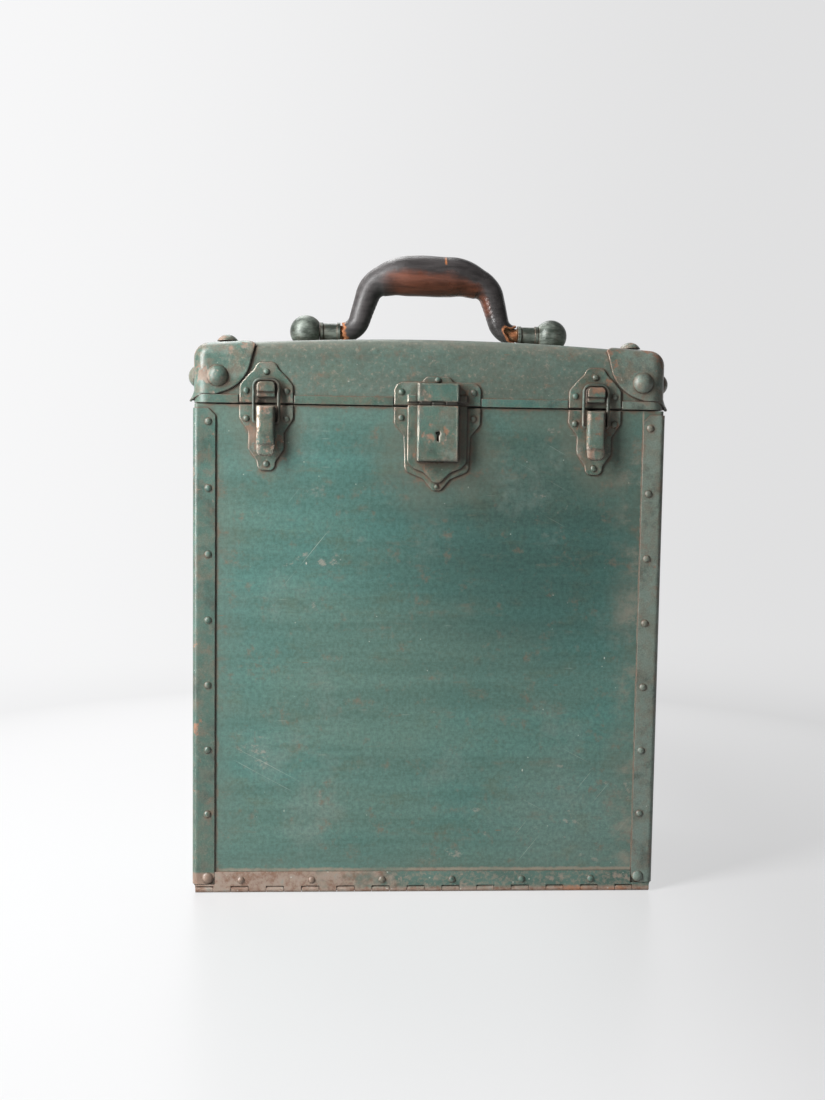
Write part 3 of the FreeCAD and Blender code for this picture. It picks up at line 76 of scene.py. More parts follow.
class CasePaintSettings(bpy.types.PropertyGroup):
    """Colours of the paint, of what age has done to it, and of the painted shade and shadow in its corners."""

    paint: colour("Paint", "Green paint where it is clean", (0.102, 0.186, 0.154))
    deep_paint: colour("Deep paint", "Green paint in the darker brush bands", (0.054, 0.112, 0.092))
    teal_paint: colour("Teal paint", "Green paint that turned bluish", (0.078, 0.188, 0.163))
    olive_paint: colour("Olive paint", "Green paint that turned brownish", (0.100, 0.146, 0.106))
    rubbed: colour("Rubbed paint", "Chalky paint where it was rubbed", (0.232, 0.265, 0.230))
    scuff: colour("Scuffs", "Pinkish ground where the paint was scraped", (0.420, 0.345, 0.295))
    speck: colour("Specks", "Pale chips and splashes", (0.52, 0.53, 0.47))
    haze: colour("Haze", "Brown dirt film round fittings", (0.158, 0.140, 0.105))
    dust: colour("Dust", "Tan dust in the corners and on ledges", (0.330, 0.265, 0.205))
    rust: colour("Rust", "Brown rust along worn edges", (0.215, 0.118, 0.078))
    orange_rust: colour("Orange rust", "Fresh rust in spots", (0.400, 0.175, 0.090))
    primer: colour("Primer", "Pinkish brown under the worn paint of the bottom hinge", (0.335, 0.258, 0.208))
    # Umber is brown dirt and also the painted shadow beside fittings.
    umber_dirt_and_shadow: colour("Umber", "Brown dirt close to fittings", (0.088, 0.074, 0.054))
    soot: colour("Soot", "Dark film on the paint of the steel", (0.048, 0.062, 0.050))
    # Grime is dark dirt and also the painted shade in corners, in gaps and on sides away from the window.
    grime_and_shade: colour("Grime", "Dark dirt in the deepest corners", (0.030, 0.029, 0.024))
    bare_steel: colour("Bare steel", "Steel where the paint is gone", (0.55, 0.50, 0.42))


class CaseGripSettings(bpy.types.PropertyGroup):
    """Sizes and colours of the leather grip."""

    leather: colour("Leather", "Dark finish of the grip", (0.046, 0.041, 0.041))
    worn_leather: colour("Worn leather", "Reddish leather where hands wore the finish off",
                         (0.125, 0.040, 0.022))
    torn_leather: colour("Torn leather", "Raw leather at the torn ends", (0.430, 0.165, 0.070))
    filling: colour("Filling", "Pale core under the torn leather", (0.560, 0.330, 0.190))
    end_x: length("End", "Distance of the leather's ends from the middle", 69.5 * MM)
    foot_x: length("Foot", "Distance of the bend at a leg's foot from the middle", 57.3 * MM)
    head_x: length("Head", "Distance of the bend at a leg's head from the middle", 46.2 * MM)
    head_up: length("Head height", "Height of the bend at a leg's head above the pivots", 36.5 * MM)
    crown_x: length("Crown", "Distance of the crown's bends from the middle", 24.0 * MM)
    crown_up: length("Crown height", "Height of the crown's centre line above the pivots", 44.6 * MM)
    foot_bend: length("Foot bend", "Radius of the bend at a leg's foot", 14.0 * MM)
    head_bend: length("Head bend", "Radius of the bend at a leg's head", 16.0 * MM)
    crown_bend: length("Crown bend", "Radius of the bends at the crown", 45.0 * MM)
    end_radius: length("End radius", "Radius of the leather at its ends", 7.6 * MM)
    leg_radius: length("Leg radius", "Radius of the leather on the legs", 9.2 * MM)
    head_radius: length("Head radius", "Radius at the bend at a leg's head", 10.5 * MM)
    shoulder_radius: length("Shoulder radius", "Radius where the hand part begins", 13.5 * MM)
    palm_radius: length("Palm radius", "Radius where the palm lies", 15.6 * MM)
    middle_radius: length("Middle radius", "Radius at the middle of the hand part", 15.9 * MM)
    rings: IntProperty(name="Rings", description="Rings along the grip", default=260, min=40)
    sides: IntProperty(name="Sides", description="Points round the grip", default=96, min=24)


class CaseStageSettings(bpy.types.PropertyGroup):
    """The studio and the camera."""

    floor: colour("Floor", "Pale table, as the camera sees it", (0.58, 0.58, 0.585))
    bounce: colour("Bounce", "Light that the table throws back on the case", (0.45, 0.45, 0.45))
    backdrop: colour("Backdrop", "White far behind the case, as the camera sees it", (0.865, 0.865, 0.87))
    focal: FloatProperty(name="Focal length", description="Lens, for a frame 36 mm high", default=39.27,
                         subtype="DISTANCE_CAMERA")
    camera_place: FloatVectorProperty(name="Camera", description="Place of the camera", subtype="TRANSLATION",
                                      size=3, default=(-0.0598, -0.9493, 0.3131))
    yaw: FloatProperty(name="Yaw", description="Turn of the camera, to the left", subtype="ANGLE",
                       default=math.radians(-3.21))
    pitch: FloatProperty(name="Pitch", description="Tilt of the camera, downwards", subtype="ANGLE",
                         default=math.radians(4.31))
    roll: FloatProperty(name="Roll", description="Lean of the camera", subtype="ANGLE",
                        default=math.radians(0.84))
    key: FloatProperty(name="Window", description="Power of the large soft lamp on the left", default=34.5)
    edge: FloatProperty(name="Strip", description="Power of the narrow lamp that only gloss shows",
                        default=4.0)
    behind: FloatProperty(name="Behind", description="Power of the soft lamp high up behind", default=20.0)
    fill: FloatProperty(name="Sky", description="Strength of the light from all round", default=0.16)


class Finish:
    """A node material in the making: each method adds a node and gives back the socket that it makes."""

    def __init__(self, name):
        self.material = bpy.data.materials.new(name)
        self.material.use_nodes = True
        self.tree = self.material.node_tree
        self.tree.nodes.clear()
        self.shader = self.tree.nodes.new("ShaderNodeBsdfPrincipled")
        output = self.tree.nodes.new("ShaderNodeOutputMaterial")
        self.tree.links.new(self.shader.outputs["BSDF"], output.inputs["Surface"])

    def node(self, kind, output=0, settings=None, **inputs):
        """One node with its settings and inputs; an input is a value or another node's socket."""
        node = self.tree.nodes.new("ShaderNode" + kind)
        for key, value in (settings or {}).items():
            setattr(node, key, value)
        for key, value in inputs.items():
            self.feed(node.inputs[key.replace("_", " ")], value)
        return node.outputs[output]

    def feed(self, socket, value):
        """Link a socket, or set its value."""
        if isinstance(value, bpy.types.NodeSocket):
            self.tree.links.new(value, socket)
        elif socket.type == "RGBA":
            socket.default_value = (*value, 1.0)
        else:
            socket.default_value = value

    def set(self, **inputs):
        """Set or link the shader's own sockets."""
        for key, value in inputs.items():
            self.feed(self.shader.inputs[key.replace("_", " ")], value)

    def calc(self, operation, *numbers):
        """Arithmetic on one, two or three numbers."""
        node = self.tree.nodes.new("ShaderNodeMath")
        node.operation = operation
        for socket, number in zip(node.inputs, numbers):
            self.feed(socket, number)
        return node.outputs[0]

    def vector(self, operation, *vectors):
        """Arithmetic on one or two vectors."""
        node = self.tree.nodes.new("ShaderNodeVectorMath")
        node.operation = operation
        for socket, vector in zip(node.inputs, vectors):
            self.feed(socket, vector)
        return node.outputs["Value" if operation == "DOT_PRODUCT" else "Vector"]

    def all_of(self, *masks):
        """Product of several masks."""
        product = masks[0]
        for mask in masks[1:]:
            product = self.calc("MULTIPLY", product, mask)
        return product

    def any_of(self, *masks):
        """Largest of several masks."""
        largest = masks[0]
        for mask in masks[1:]:
            largest = self.calc("MAXIMUM", largest, mask)
        return largest

    def ramp(self, value, low, high, at_low=0.0, at_high=1.0):
        """Smooth step from at_low to at_high while value goes from low to high."""
        return self.node("MapRange", settings={"interpolation_type": "SMOOTHSTEP"}, Value=value, From_Min=low,
                         From_Max=high, To_Min=at_low, To_Max=at_high)

    def mix(self, share, first, second):
        """Blend of two colours."""
        node = self.tree.nodes.new("ShaderNodeMix")
        node.data_type = "RGBA"
        self.feed(node.inputs[0], share)
        self.feed(node.inputs[6], first)
        self.feed(node.inputs[7], second)
        return node.outputs[2]

    def shade(self, base, amount):
        """A colour made lighter or darker by a factor."""
        node = self.tree.nodes.new("ShaderNodeVectorMath")
        node.operation = "SCALE"
        self.feed(node.inputs[0], base)
        self.feed(node.inputs[3], amount)
        return node.outputs[0]

    def place(self):
        """Object coordinates, which are the construction's own."""
        return self.node("TexCoord", output="Object")

    def axes(self, place):
        """The x, y and z of a place."""
        node = self.tree.nodes.new("ShaderNodeSeparateXYZ")
        self.feed(node.inputs[0], place)
        return node.outputs

    def stretched(self, place, scale, shift=(0.0, 0.0, 0.0), turn=(0.0, 0.0, 0.0)):
        """A place scaled along each axis, moved and turned."""
        return self.node("Mapping", Vector=place, Location=shift, Rotation=turn, Scale=scale)

    def noise(self, place, scale, detail=3.0, roughness=0.55):
        """Cloudy noise from 0 to 1."""
        return self.node("TexNoise", settings={"noise_dimensions": "3D"}, Vector=place, Scale=scale,
                         Detail=detail, Roughness=roughness)

    def cells(self, place, scale):
        """Distance to the nearest of scattered points, and a random number for each point."""
        node = self.tree.nodes.new("ShaderNodeTexVoronoi")
        self.feed(node.inputs["Vector"], place)
        self.feed(node.inputs["Scale"], scale)
        return node.outputs["Distance"], self.axes(node.outputs["Color"])[0]

    def corners(self, distance, lean=(0.0, 0.0, 0.0)):
        """How covered a place is: 0 in the open, 1 where all round it, or its whole lean side, is shut."""
        tilted = self.vector("NORMALIZE", self.vector("ADD", self.node("NewGeometry", output="Normal"), lean))
        open_share = self.node("AmbientOcclusion", output="AO", settings={"samples": 8}, Distance=distance,
                               Normal=tilted)
        return self.calc("SUBTRACT", 1.0, open_share)

    def edges(self, radius):
        """How sharp an edge is near a place, from how far a rounding would turn the surface there."""
        rounded = self.node("Bevel", settings={"samples": 6}, Radius=radius)
        flat = self.node("NewGeometry", output="Normal")
        return self.calc("SUBTRACT", 1.0, self.vector("DOT_PRODUCT", rounded, flat))

    def facing(self, normal=None):
        """Which way a surface faces, in the piece's own axes, so that a turned piece keeps its wear."""
        if normal is None:
            normal = self.node("NewGeometry", output="Normal")
        turned = self.node("VectorTransform", Vector=normal, settings={
            "vector_type": "NORMAL", "convert_from": "WORLD", "convert_to": "OBJECT"})
        return self.axes(turned)

    def bump(self, height, depth, below=None):
        """Normal of a surface raised by height times depth, over another bump."""
        inputs = {"Height": height, "Distance": depth}
        if below is not None:
            inputs["Normal"] = below
        return self.node("Bump", **inputs)


def brush_place(finish, place):
    """Coordinates along and across the brush strokes: across runs up the walls and back over the top."""
    x, y, z = finish.axes(place)
    upward = finish.ramp(finish.calc("ABSOLUTE", finish.facing()[2]), 0.6, 0.8)
    across = finish.node("Mix", Factor=upward, A=z, B=y)
    along = finish.calc("ADD", x, finish.calc("MULTIPLY", y, 0.73))
    return finish.node("CombineXYZ", X=along, Y=across, Z=finish.calc("MULTIPLY", upward, 3.0))


def scattered(finish, place, scale, size, share):
    """Mask of small spots: cells per metre, spot size as a share of a cell, and the share of cells used."""
    distance, chance = finish.cells(place, scale)
    spot = finish.ramp(distance, size, size * 0.55)
    return finish.all_of(spot, finish.ramp(chance, 1.0 - share, 1.02 - share))


def weave(finish, stroke):
    """Fine threads along and across the strokes, from 0 to 1."""
    along = finish.noise(finish.stretched(stroke, (120.0, 1500.0, 1.0)), 1.0, 2.0)
    across = finish.noise(finish.stretched(stroke, (1500.0, 140.0, 1.0)), 1.0, 2.0)
    return finish.node("Mix", Factor=0.45, A=along, B=across)


def settle(finish, place, colour_now, paint, halo, lines):
    """Corners: a brown haze of dirt and painted shadow, creeping rust, tan dust lines and dark painted shade with
    grime inside.

    halo and lines are the strengths of the haze and of the dust. Gives the colour and the dust's mask.
    """
    ragged = finish.calc("SUBTRACT", finish.noise(place, 95.0, 6.0, 0.68), 0.5)
    # Brown haze round raised parts, heavier on their side away from the window: dirt and painted shadow.
    near = finish.calc("ADD", finish.corners(9.0 * MM, SHADOW_LEAN), finish.calc("MULTIPLY", ragged, 0.35))
    colour_now = finish.mix(finish.ramp(near, 0.10, 0.42, 0.0, halo), colour_now, paint.umber_dirt_and_shadow)
    deep = finish.corners(3.0 * MM, SHADOW_LEAN)
    touched = finish.calc("ADD", deep, finish.calc("MULTIPLY", ragged, 1.4))
    dusty = finish.ramp(touched, 0.42, 0.70, 0.0, lines)
    colour_now = finish.mix(finish.ramp(touched, 0.08, 0.36, 0.0, lines), colour_now, paint.rust)
    colour_now = finish.mix(dusty, colour_now, paint.dust)
    # Darkest in the deepest corners and on the side away from the window: painted shade, with grime.
    colour_now = finish.mix(finish.ramp(deep, 0.22, 0.50, 0.0, 0.92), colour_now, paint.grime_and_shade)
    return colour_now, dusty


def oval(finish, first, second, centre, reach):
    """Distance from a centre as a share of the oval with these half axes: 1 on the oval."""
    across = finish.calc("DIVIDE", finish.calc("SUBTRACT", first, centre[0]), reach[0])
    upward = finish.calc("DIVIDE", finish.calc("SUBTRACT", second, centre[1]), reach[1])
    return finish.calc("SQRT", finish.calc("ADD", finish.calc("MULTIPLY", across, across),
                                           finish.calc("MULTIPLY", upward, upward)))


def front_dirt(finish, place):
    """Mask of the brown haze on the front: round the fittings, along the parting and in the borders."""
    x, y, z = finish.axes(place)
    side = finish.calc("ABSOLUTE", x)
    ragged = finish.calc("SUBTRACT", finish.noise(place, 26.0, 6.0, 0.66), 0.5)
    latch = oval(finish, side, z, (0.116, 0.342), (0.026, 0.050))
    lock = oval(finish, x, z, (0.004, 0.330), (0.039, 0.050))
    fittings = finish.calc("ADD", finish.calc("MINIMUM", latch, lock), finish.calc("MULTIPLY", ragged, 1.6))
    lid = finish.ramp(z, 0.351, 0.356, 0.0, 0.9)
    around = finish.ramp(fittings, 1.40, 0.70)
    drift = finish.calc("MULTIPLY", ragged, 0.05)
    off_line = finish.calc("ABSOLUTE", finish.calc("SUBTRACT", z, 0.353))
    parting = finish.ramp(finish.calc("ADD", off_line, drift), 0.024, 0.002, 0.0, 0.7)
    border = finish.ramp(finish.calc("ADD", side, drift), 0.124, 0.150, 0.0, 0.6)
    foot = finish.ramp(finish.calc("ADD", z, drift), 0.046, 0.012, 0.0, 0.6)
    return finish.all_of(finish.any_of(around, parting, border, foot, lid), finish.ramp(y, -0.090, -0.097))


def dust_line(finish, place, across, along, level, width):
    """Mask of a wavy line of dust: where one coordinate is near a level, with a width that comes and goes."""
    path = finish.node("CombineXYZ", X=along)
    wave = finish.noise(path, 34.0, 4.0)
    off = finish.calc("SUBTRACT", across, finish.calc("MULTIPLY_ADD", wave, width, level - 0.5 * width))
    ragged = finish.calc("MULTIPLY", finish.noise(place, 300.0, 4.0), 0.9 * width)
    return finish.ramp(finish.calc("ADD", finish.calc("ABSOLUTE", off), ragged), 1.1 * width, 0.5 * width)


def painted_board(paint):
    """Green paint on cloth-covered boards: soft bands, blotches, threads, specks, dashes, dirt and painted shade.
    """
    finish = Finish("painted_board")
    place = finish.place()
    x, y, z = finish.axes(place)
    stroke = brush_place(finish, place)
    bands = finish.noise(finish.stretched(stroke, (4.0, 60.0, 1.0)), 1.0, 6.0, 0.66)
    wide = finish.noise(finish.stretched(stroke, (6.0, 12.0, 1.0), shift=(3.1, 1.7, 0.0)), 1.0, 3.0)
    blotch = finish.noise(finish.stretched(stroke, (30.0, 44.0, 1.0), shift=(0.4, 5.2, 0.0)), 1.0, 7.0, 0.70)
    grains = finish.noise(place, 330.0, 5.0, 0.75)
    threads = weave(finish, stroke)
    colour_now = finish.mix(finish.ramp(wide, 0.36, 0.64), paint.paint, paint.teal_paint)
    colour_now = finish.mix(finish.ramp(blotch, 0.48, 0.32, 0.0, 0.60), colour_now, paint.olive_paint)
    colour_now = finish.mix(finish.ramp(bands, 0.60, 0.34, 0.0, 0.42), colour_now, paint.deep_paint)
    # Darker towards an oval over the right middle of the front: partly painted shade of the window light falling
    # off to the right, partly darker paint.
    right_middle_darkening = finish.ramp(oval(finish, x, z, (0.080, 0.258), (0.140, 0.120)), 0.2, 1.25, 0.57, 1.0)
    colour_now = finish.shade(colour_now, right_middle_darkening)
    cloud = finish.noise(place, 17.0, 6.0, 0.66)
    colour_now = finish.mix(finish.ramp(cloud, 0.54, 0.74, 0.0, 0.30), colour_now, paint.rubbed)
    faded = finish.ramp(oval(finish, x, z, (0.105, 0.055), (0.075, 0.055)), 1.15, 0.2, 0.0, 0.24)
    colour_now = finish.mix(faded, colour_now, paint.rubbed)
    colour_now = finish.shade(colour_now, finish.ramp(threads, 0.30, 0.70, 0.95, 1.05))
    colour_now = finish.shade(colour_now, finish.ramp(grains, 0.30, 0.70, 0.78, 1.22))
    top = finish.ramp(finish.facing()[2], 0.05, 0.75)
    colour_now = finish.mix(finish.all_of(top, 0.55), colour_now, paint.rubbed)

    clusters = finish.ramp(finish.noise(place, 8.0, 2.0), 0.50, 0.62)
    scuffs = finish.noise(finish.stretched(stroke, (44.0, 60.0, 1.0)), 1.0, 8.0, 0.74)
    scuffs = finish.all_of(finish.ramp(scuffs, 0.585, 0.66), clusters)
    colour_now = finish.mix(finish.calc("MULTIPLY", scuffs, 0.50), colour_now, paint.scuff)
    smudges = finish.noise(finish.stretched(stroke, (30.0, 80.0, 1.0), shift=(7.0, 2.0, 0.0)), 1.0, 6.0, 0.70)
    colour_now = finish.mix(finish.ramp(smudges, 0.56, 0.72, 0.0, 0.45), colour_now, paint.haze)
    colour_now = finish.mix(finish.calc("MULTIPLY", front_dirt(finish, place), 0.34), colour_now, paint.haze)
    dashes = scattered(finish, finish.stretched(stroke, (34.0, 330.0, 1.0)), 1.0, 0.15, 0.04)
    specks = scattered(finish, place, 190.0, 0.10, 0.08)
    flecks = scattered(finish, finish.stretched(place, (1.0, 1.0, 0.55)), 70.0, 0.045, 0.14)
    chips = finish.any_of(finish.calc("MULTIPLY", dashes, 0.20), finish.calc("MULTIPLY", specks, 0.7), flecks)
    colour_now = finish.mix(finish.calc("MULTIPLY", chips, 0.75), colour_now, paint.speck)
    for lean in (0.9, -0.5):
        turned = finish.stretched(place, (1.0, 1.0, 1.0), turn=(0.0, lean, 0.0))
        hairs = finish.ramp(finish.noise(finish.stretched(turned, (11.0, 11.0, 700.0)), 1.0, 2.0), 0.70, 0.76)
        colour_now = finish.mix(finish.all_of(hairs, clusters, 0.45), colour_now, paint.speck)
    marks = finish.stretched(stroke, (50.0, 300.0, 1.0), shift=(9.0, 4.0, 0.0))
    dark_marks = scattered(finish, marks, 1.0, 0.15, 0.04)
    colour_now = finish.mix(finish.calc("MULTIPLY", dark_marks, 0.6), colour_now, paint.rust)
    # Tan marks on the front: a wavy line near the bottom, a thin pale line along the right angle's inner edge, and
    # powder near the right border.
    tide = finish.all_of(dust_line(finish, place, z, x, 16.8 * MM, 3.0 * MM), finish.ramp(cloud, 0.25, 0.55))
    right = dust_line(finish, place, x, z, 151.2 * MM, 1.4 * MM)
    right = finish.all_of(right, finish.ramp(blotch, 0.30, 0.50))
    powder = finish.all_of(finish.ramp(x, 0.124, 0.149), finish.ramp(blotch, 0.46, 0.64),
                           finish.ramp(cloud, 0.40, 0.55), 0.6)
    front = finish.ramp(y, -0.090, -0.097)
    tan_marks = finish.all_of(finish.any_of(tide, right, powder), front, 0.8)
    colour_now = finish.mix(tan_marks, colour_now, paint.dust)
    lid = finish.ramp(z, 0.351, 0.356)
    browned = finish.all_of(finish.ramp(blotch, 0.40, 0.60, 0.10, 0.34), lid)
    colour_now = finish.mix(browned, colour_now, paint.umber_dirt_and_shadow)
    grit = finish.noise(place, 240.0, 7.0, 0.80)
    pale_grit = finish.all_of(finish.ramp(grit, 0.52, 0.66, 0.0, 0.55), lid)
    colour_now = finish.mix(pale_grit, colour_now, paint.dust)
    dark_grit = finish.all_of(finish.ramp(grit, 0.48, 0.34, 0.0, 0.50), lid)
    colour_now = finish.mix(dark_grit, colour_now, paint.soot)
    sprinkle = scattered(finish, place, 290.0, 0.15, 0.06)
    colour_now = finish.mix(finish.all_of(sprinkle, lid, 0.6), colour_now, paint.speck)
    colour_now, dusty = settle(finish, place, colour_now, paint, 0.8, 0.55)

    rough = finish.ramp(cloud, 0.3, 0.7, 0.40, 0.58)
    rough = finish.calc("MAXIMUM", rough, finish.calc("MULTIPLY", dusty, 0.9))
    relief = finish.bump(bands, 0.30 * MM)
    relief = finish.bump(blotch, 0.20 * MM, relief)
    relief = finish.bump(threads, 0.07 * MM, relief)
    relief = finish.bump(grains, 0.10 * MM, relief)
    relief = finish.bump(finish.any_of(chips, scuffs), -0.06 * MM, relief)
    finish.set(Base_Color=colour_now, Roughness=rough, Normal=relief, Specular_IOR_Level=0.40)
    return finish.material


def steel_paint(name, paint, wear, spots, film, round_edge):
    """Green paint over steel: worn edges, rust spots, a grey film, dirt in the corners, painted highlight and
    painted shade.

    wear is how far the edges are worn and how strong the painted highlight and shade on them are, spots how much
    rust shows, film how much dirt lies on the paint, and round_edge the radius of the edges that the light sees.
    """
    finish = Finish(name)
    place = finish.place()
    cloud = finish.noise(place, 34.0, 5.0, 0.6)
    broad = finish.noise(place, 9.0, 3.0)
    mottle = finish.noise(place, 120.0, 5.0, 0.66)
    grain = finish.noise(place, 900.0, 2.0)
    freckles = finish.noise(place, 430.0, 5.0, 0.75)
    colour_now = finish.mix(finish.ramp(cloud, 0.34, 0.66), paint.deep_paint, paint.paint)
    fresh = finish.ramp(broad, 0.45, 0.70, 0.0, 0.6 - 0.6 * film)
    colour_now = finish.mix(fresh, colour_now, paint.teal_paint)
    colour_now = finish.mix(finish.ramp(broad, 0.66, 0.30, 0.2 * film, 0.7), colour_now, paint.olive_paint)
    x, y, z = finish.axes(place)
    colour_now = finish.mix(finish.ramp(x, 0.110, 0.150, 0.0, 0.55), colour_now, paint.rubbed)
    colour_now = finish.mix(finish.ramp(x, -0.132, -0.150, 0.0, 0.42), colour_now, paint.deep_paint)
    greyed = finish.noise(place, 48.0, 6.0, 0.66)
    greyed = finish.ramp(greyed, 0.60 - 0.16 * film, 0.72 - 0.10 * film, 0.0, 0.30 + 0.3 * film)
    colour_now = finish.mix(greyed, colour_now, paint.rubbed)
    soot = finish.noise(finish.stretched(place, (1.0, 1.0, 1.0), shift=(0.8, 0.1, 0.4)), 42.0, 6.0, 0.70)
    colour_now = finish.mix(finish.ramp(soot, 0.52, 0.34, 0.0, 0.75), colour_now, paint.soot)
    colour_now = finish.mix(finish.ramp(mottle, 0.44, 0.62, 0.0, 0.30 + 0.50 * film), colour_now, paint.haze)
    freckles = finish.ramp(freckles, 0.54, 0.68, 0.0, 0.12 + 0.40 * film)
    colour_now = finish.mix(freckles, colour_now, paint.dust)
    colour_now = finish.shade(colour_now, finish.ramp(grain, 0.25, 0.75, 0.86, 1.14))
    hinge_side = finish.all_of(finish.ramp(z, 16.0 * MM, 14.0 * MM), finish.ramp(y, -0.094, -0.098),
                               finish.ramp(x, -0.010, -0.060, 0.0, 0.9))
    colour_now = finish.mix(hinge_side, colour_now, finish.mix(mottle, paint.rust, paint.primer))

    patches = finish.noise(finish.stretched(place, (1.0, 1.0, 1.0), shift=(0.3, 0.5, 0.1)), 62.0, 6.0, 0.66)
    outer = finish.any_of(finish.ramp(finish.calc("ABSOLUTE", x), 0.156, 0.167), finish.ramp(z, 0.384, 0.396))
    patches = finish.calc("MULTIPLY_ADD", outer, 0.07, patches)
    rust_spots = finish.ramp(patches, 0.68 - spots * 0.08, 0.73 - spots * 0.08)
    bright_rust = finish.ramp(mottle, 0.42, 0.62, 0.0, 1.0 - 0.6 * film)
    rust_tone = finish.mix(bright_rust, paint.rust, paint.orange_rust)
    rust_tone = finish.mix(finish.ramp(cloud, 0.45, 0.60, 0.0, 0.8), rust_tone, paint.primer)
    colour_now = finish.mix(finish.calc("MULTIPLY", rust_spots, 0.75), colour_now, rust_tone)
    chipped = finish.calc("SUBTRACT", finish.noise(place, 85.0, 6.0, 0.70), 0.5)
    sharp = finish.edges(0.7 * round_edge)
    rounded = finish.node("Bevel", settings={"samples": 6}, Radius=round_edge)
    facing = finish.facing(rounded)
    pressed = finish.node("Attribute", output="Fac", settings={"attribute_name": "pressed"})
    edge = finish.any_of(finish.ramp(sharp, 0.008, 0.05), pressed)
    # Edges, and the whole of each pressed lever, whose rounding faces right or down, away from the window: painted
    # shade.
    shaded_side = finish.any_of(finish.ramp(facing[0], 0.15, 0.55), finish.ramp(facing[2], -0.10, -0.50))
    shaded_side = finish.all_of(shaded_side, edge)
    worn = finish.calc("MULTIPLY_ADD", sharp, 7.0, finish.calc("MULTIPLY", chipped, 3.0))
    worn = finish.calc("SUBTRACT", worn, finish.calc("MULTIPLY", shaded_side, 0.5 * wear))
    # Edges facing left, towards the window, are worn further so that pale steel shows there: a painted highlight.
    lit_side = finish.all_of(finish.ramp(facing[0], -0.08, -0.36, 0.0, 0.8 * wear), edge)
    worn = finish.calc("ADD", worn, finish.all_of(lit_side, finish.ramp(chipped, -0.12, 0.04)))
    rusty = finish.ramp(worn, 0.66 - wear * 0.35, 0.92 - wear * 0.35)
    colour_now = finish.mix(finish.calc("MULTIPLY", rusty, 0.85), colour_now, rust_tone)
    # Bare steel on worn edges, and the painted highlight of the edges facing the window, weaker to the right as a
    # painted falloff of the light.
    bare_and_lit = finish.all_of(finish.ramp(worn, 0.95 - wear * 0.35, 1.25 - wear * 0.35), wear,
                           finish.ramp(x, 0.05, 0.11, 1.0, 0.5))
    colour_now = finish.mix(bare_and_lit, colour_now, paint.bare_steel)
    specks = scattered(finish, place, 260.0, 0.14, 0.09)
    colour_now = finish.mix(finish.calc("MULTIPLY", specks, 0.55), colour_now, paint.speck)
    # Painted shade on the edges facing away from the window.
    colour_now = finish.mix(finish.all_of(shaded_side, 0.85 * wear), colour_now, paint.grime_and_shade)
    colour_now, dusty = settle(finish, place, colour_now, paint, 0.70, 0.5)
    # Painted shade: a dark line along the gap at the lock's hinge.
    hinge_gap_shade = finish.ramp(finish.calc("ABSOLUTE", finish.calc("SUBTRACT", z, 352.3 * MM)), 1.4 * MM, 1.0 * MM)
    hinge_gap_shade = finish.all_of(hinge_gap_shade, finish.ramp(y, -101.2 * MM, -102.0 * MM))
    colour_now = finish.mix(finish.calc("MULTIPLY", hinge_gap_shade, 0.9), colour_now, paint.grime_and_shade)

    rough = finish.ramp(cloud, 0.3, 0.7, 0.26, 0.44)
    rough = finish.any_of(rough, finish.calc("MULTIPLY", rust_spots, 0.75),
                          finish.calc("MULTIPLY", dusty, 0.9))
    relief = finish.bump(cloud, 0.90 * MM, rounded)
    relief = finish.bump(mottle, 0.26 * MM, relief)
    relief = finish.bump(finish.any_of(rusty, rust_spots), -0.10 * MM, relief)
    finish.set(Base_Color=colour_now, Roughness=rough, Normal=relief,
               Metallic=finish.calc("MULTIPLY", bare_and_lit, 0.55))
    return finish.material


def dress(material, *nodes):
    """Give a construction node its finish."""
    for name in nodes:
        slots = frame["nodes"][name].data.materials
        slots.clear()
        slots.append(material)


def nodes_like(*beginnings):
    """Names of the construction nodes that begin with one of these words."""
    return [name for name in frame["nodes"] if name.startswith(beginnings)]


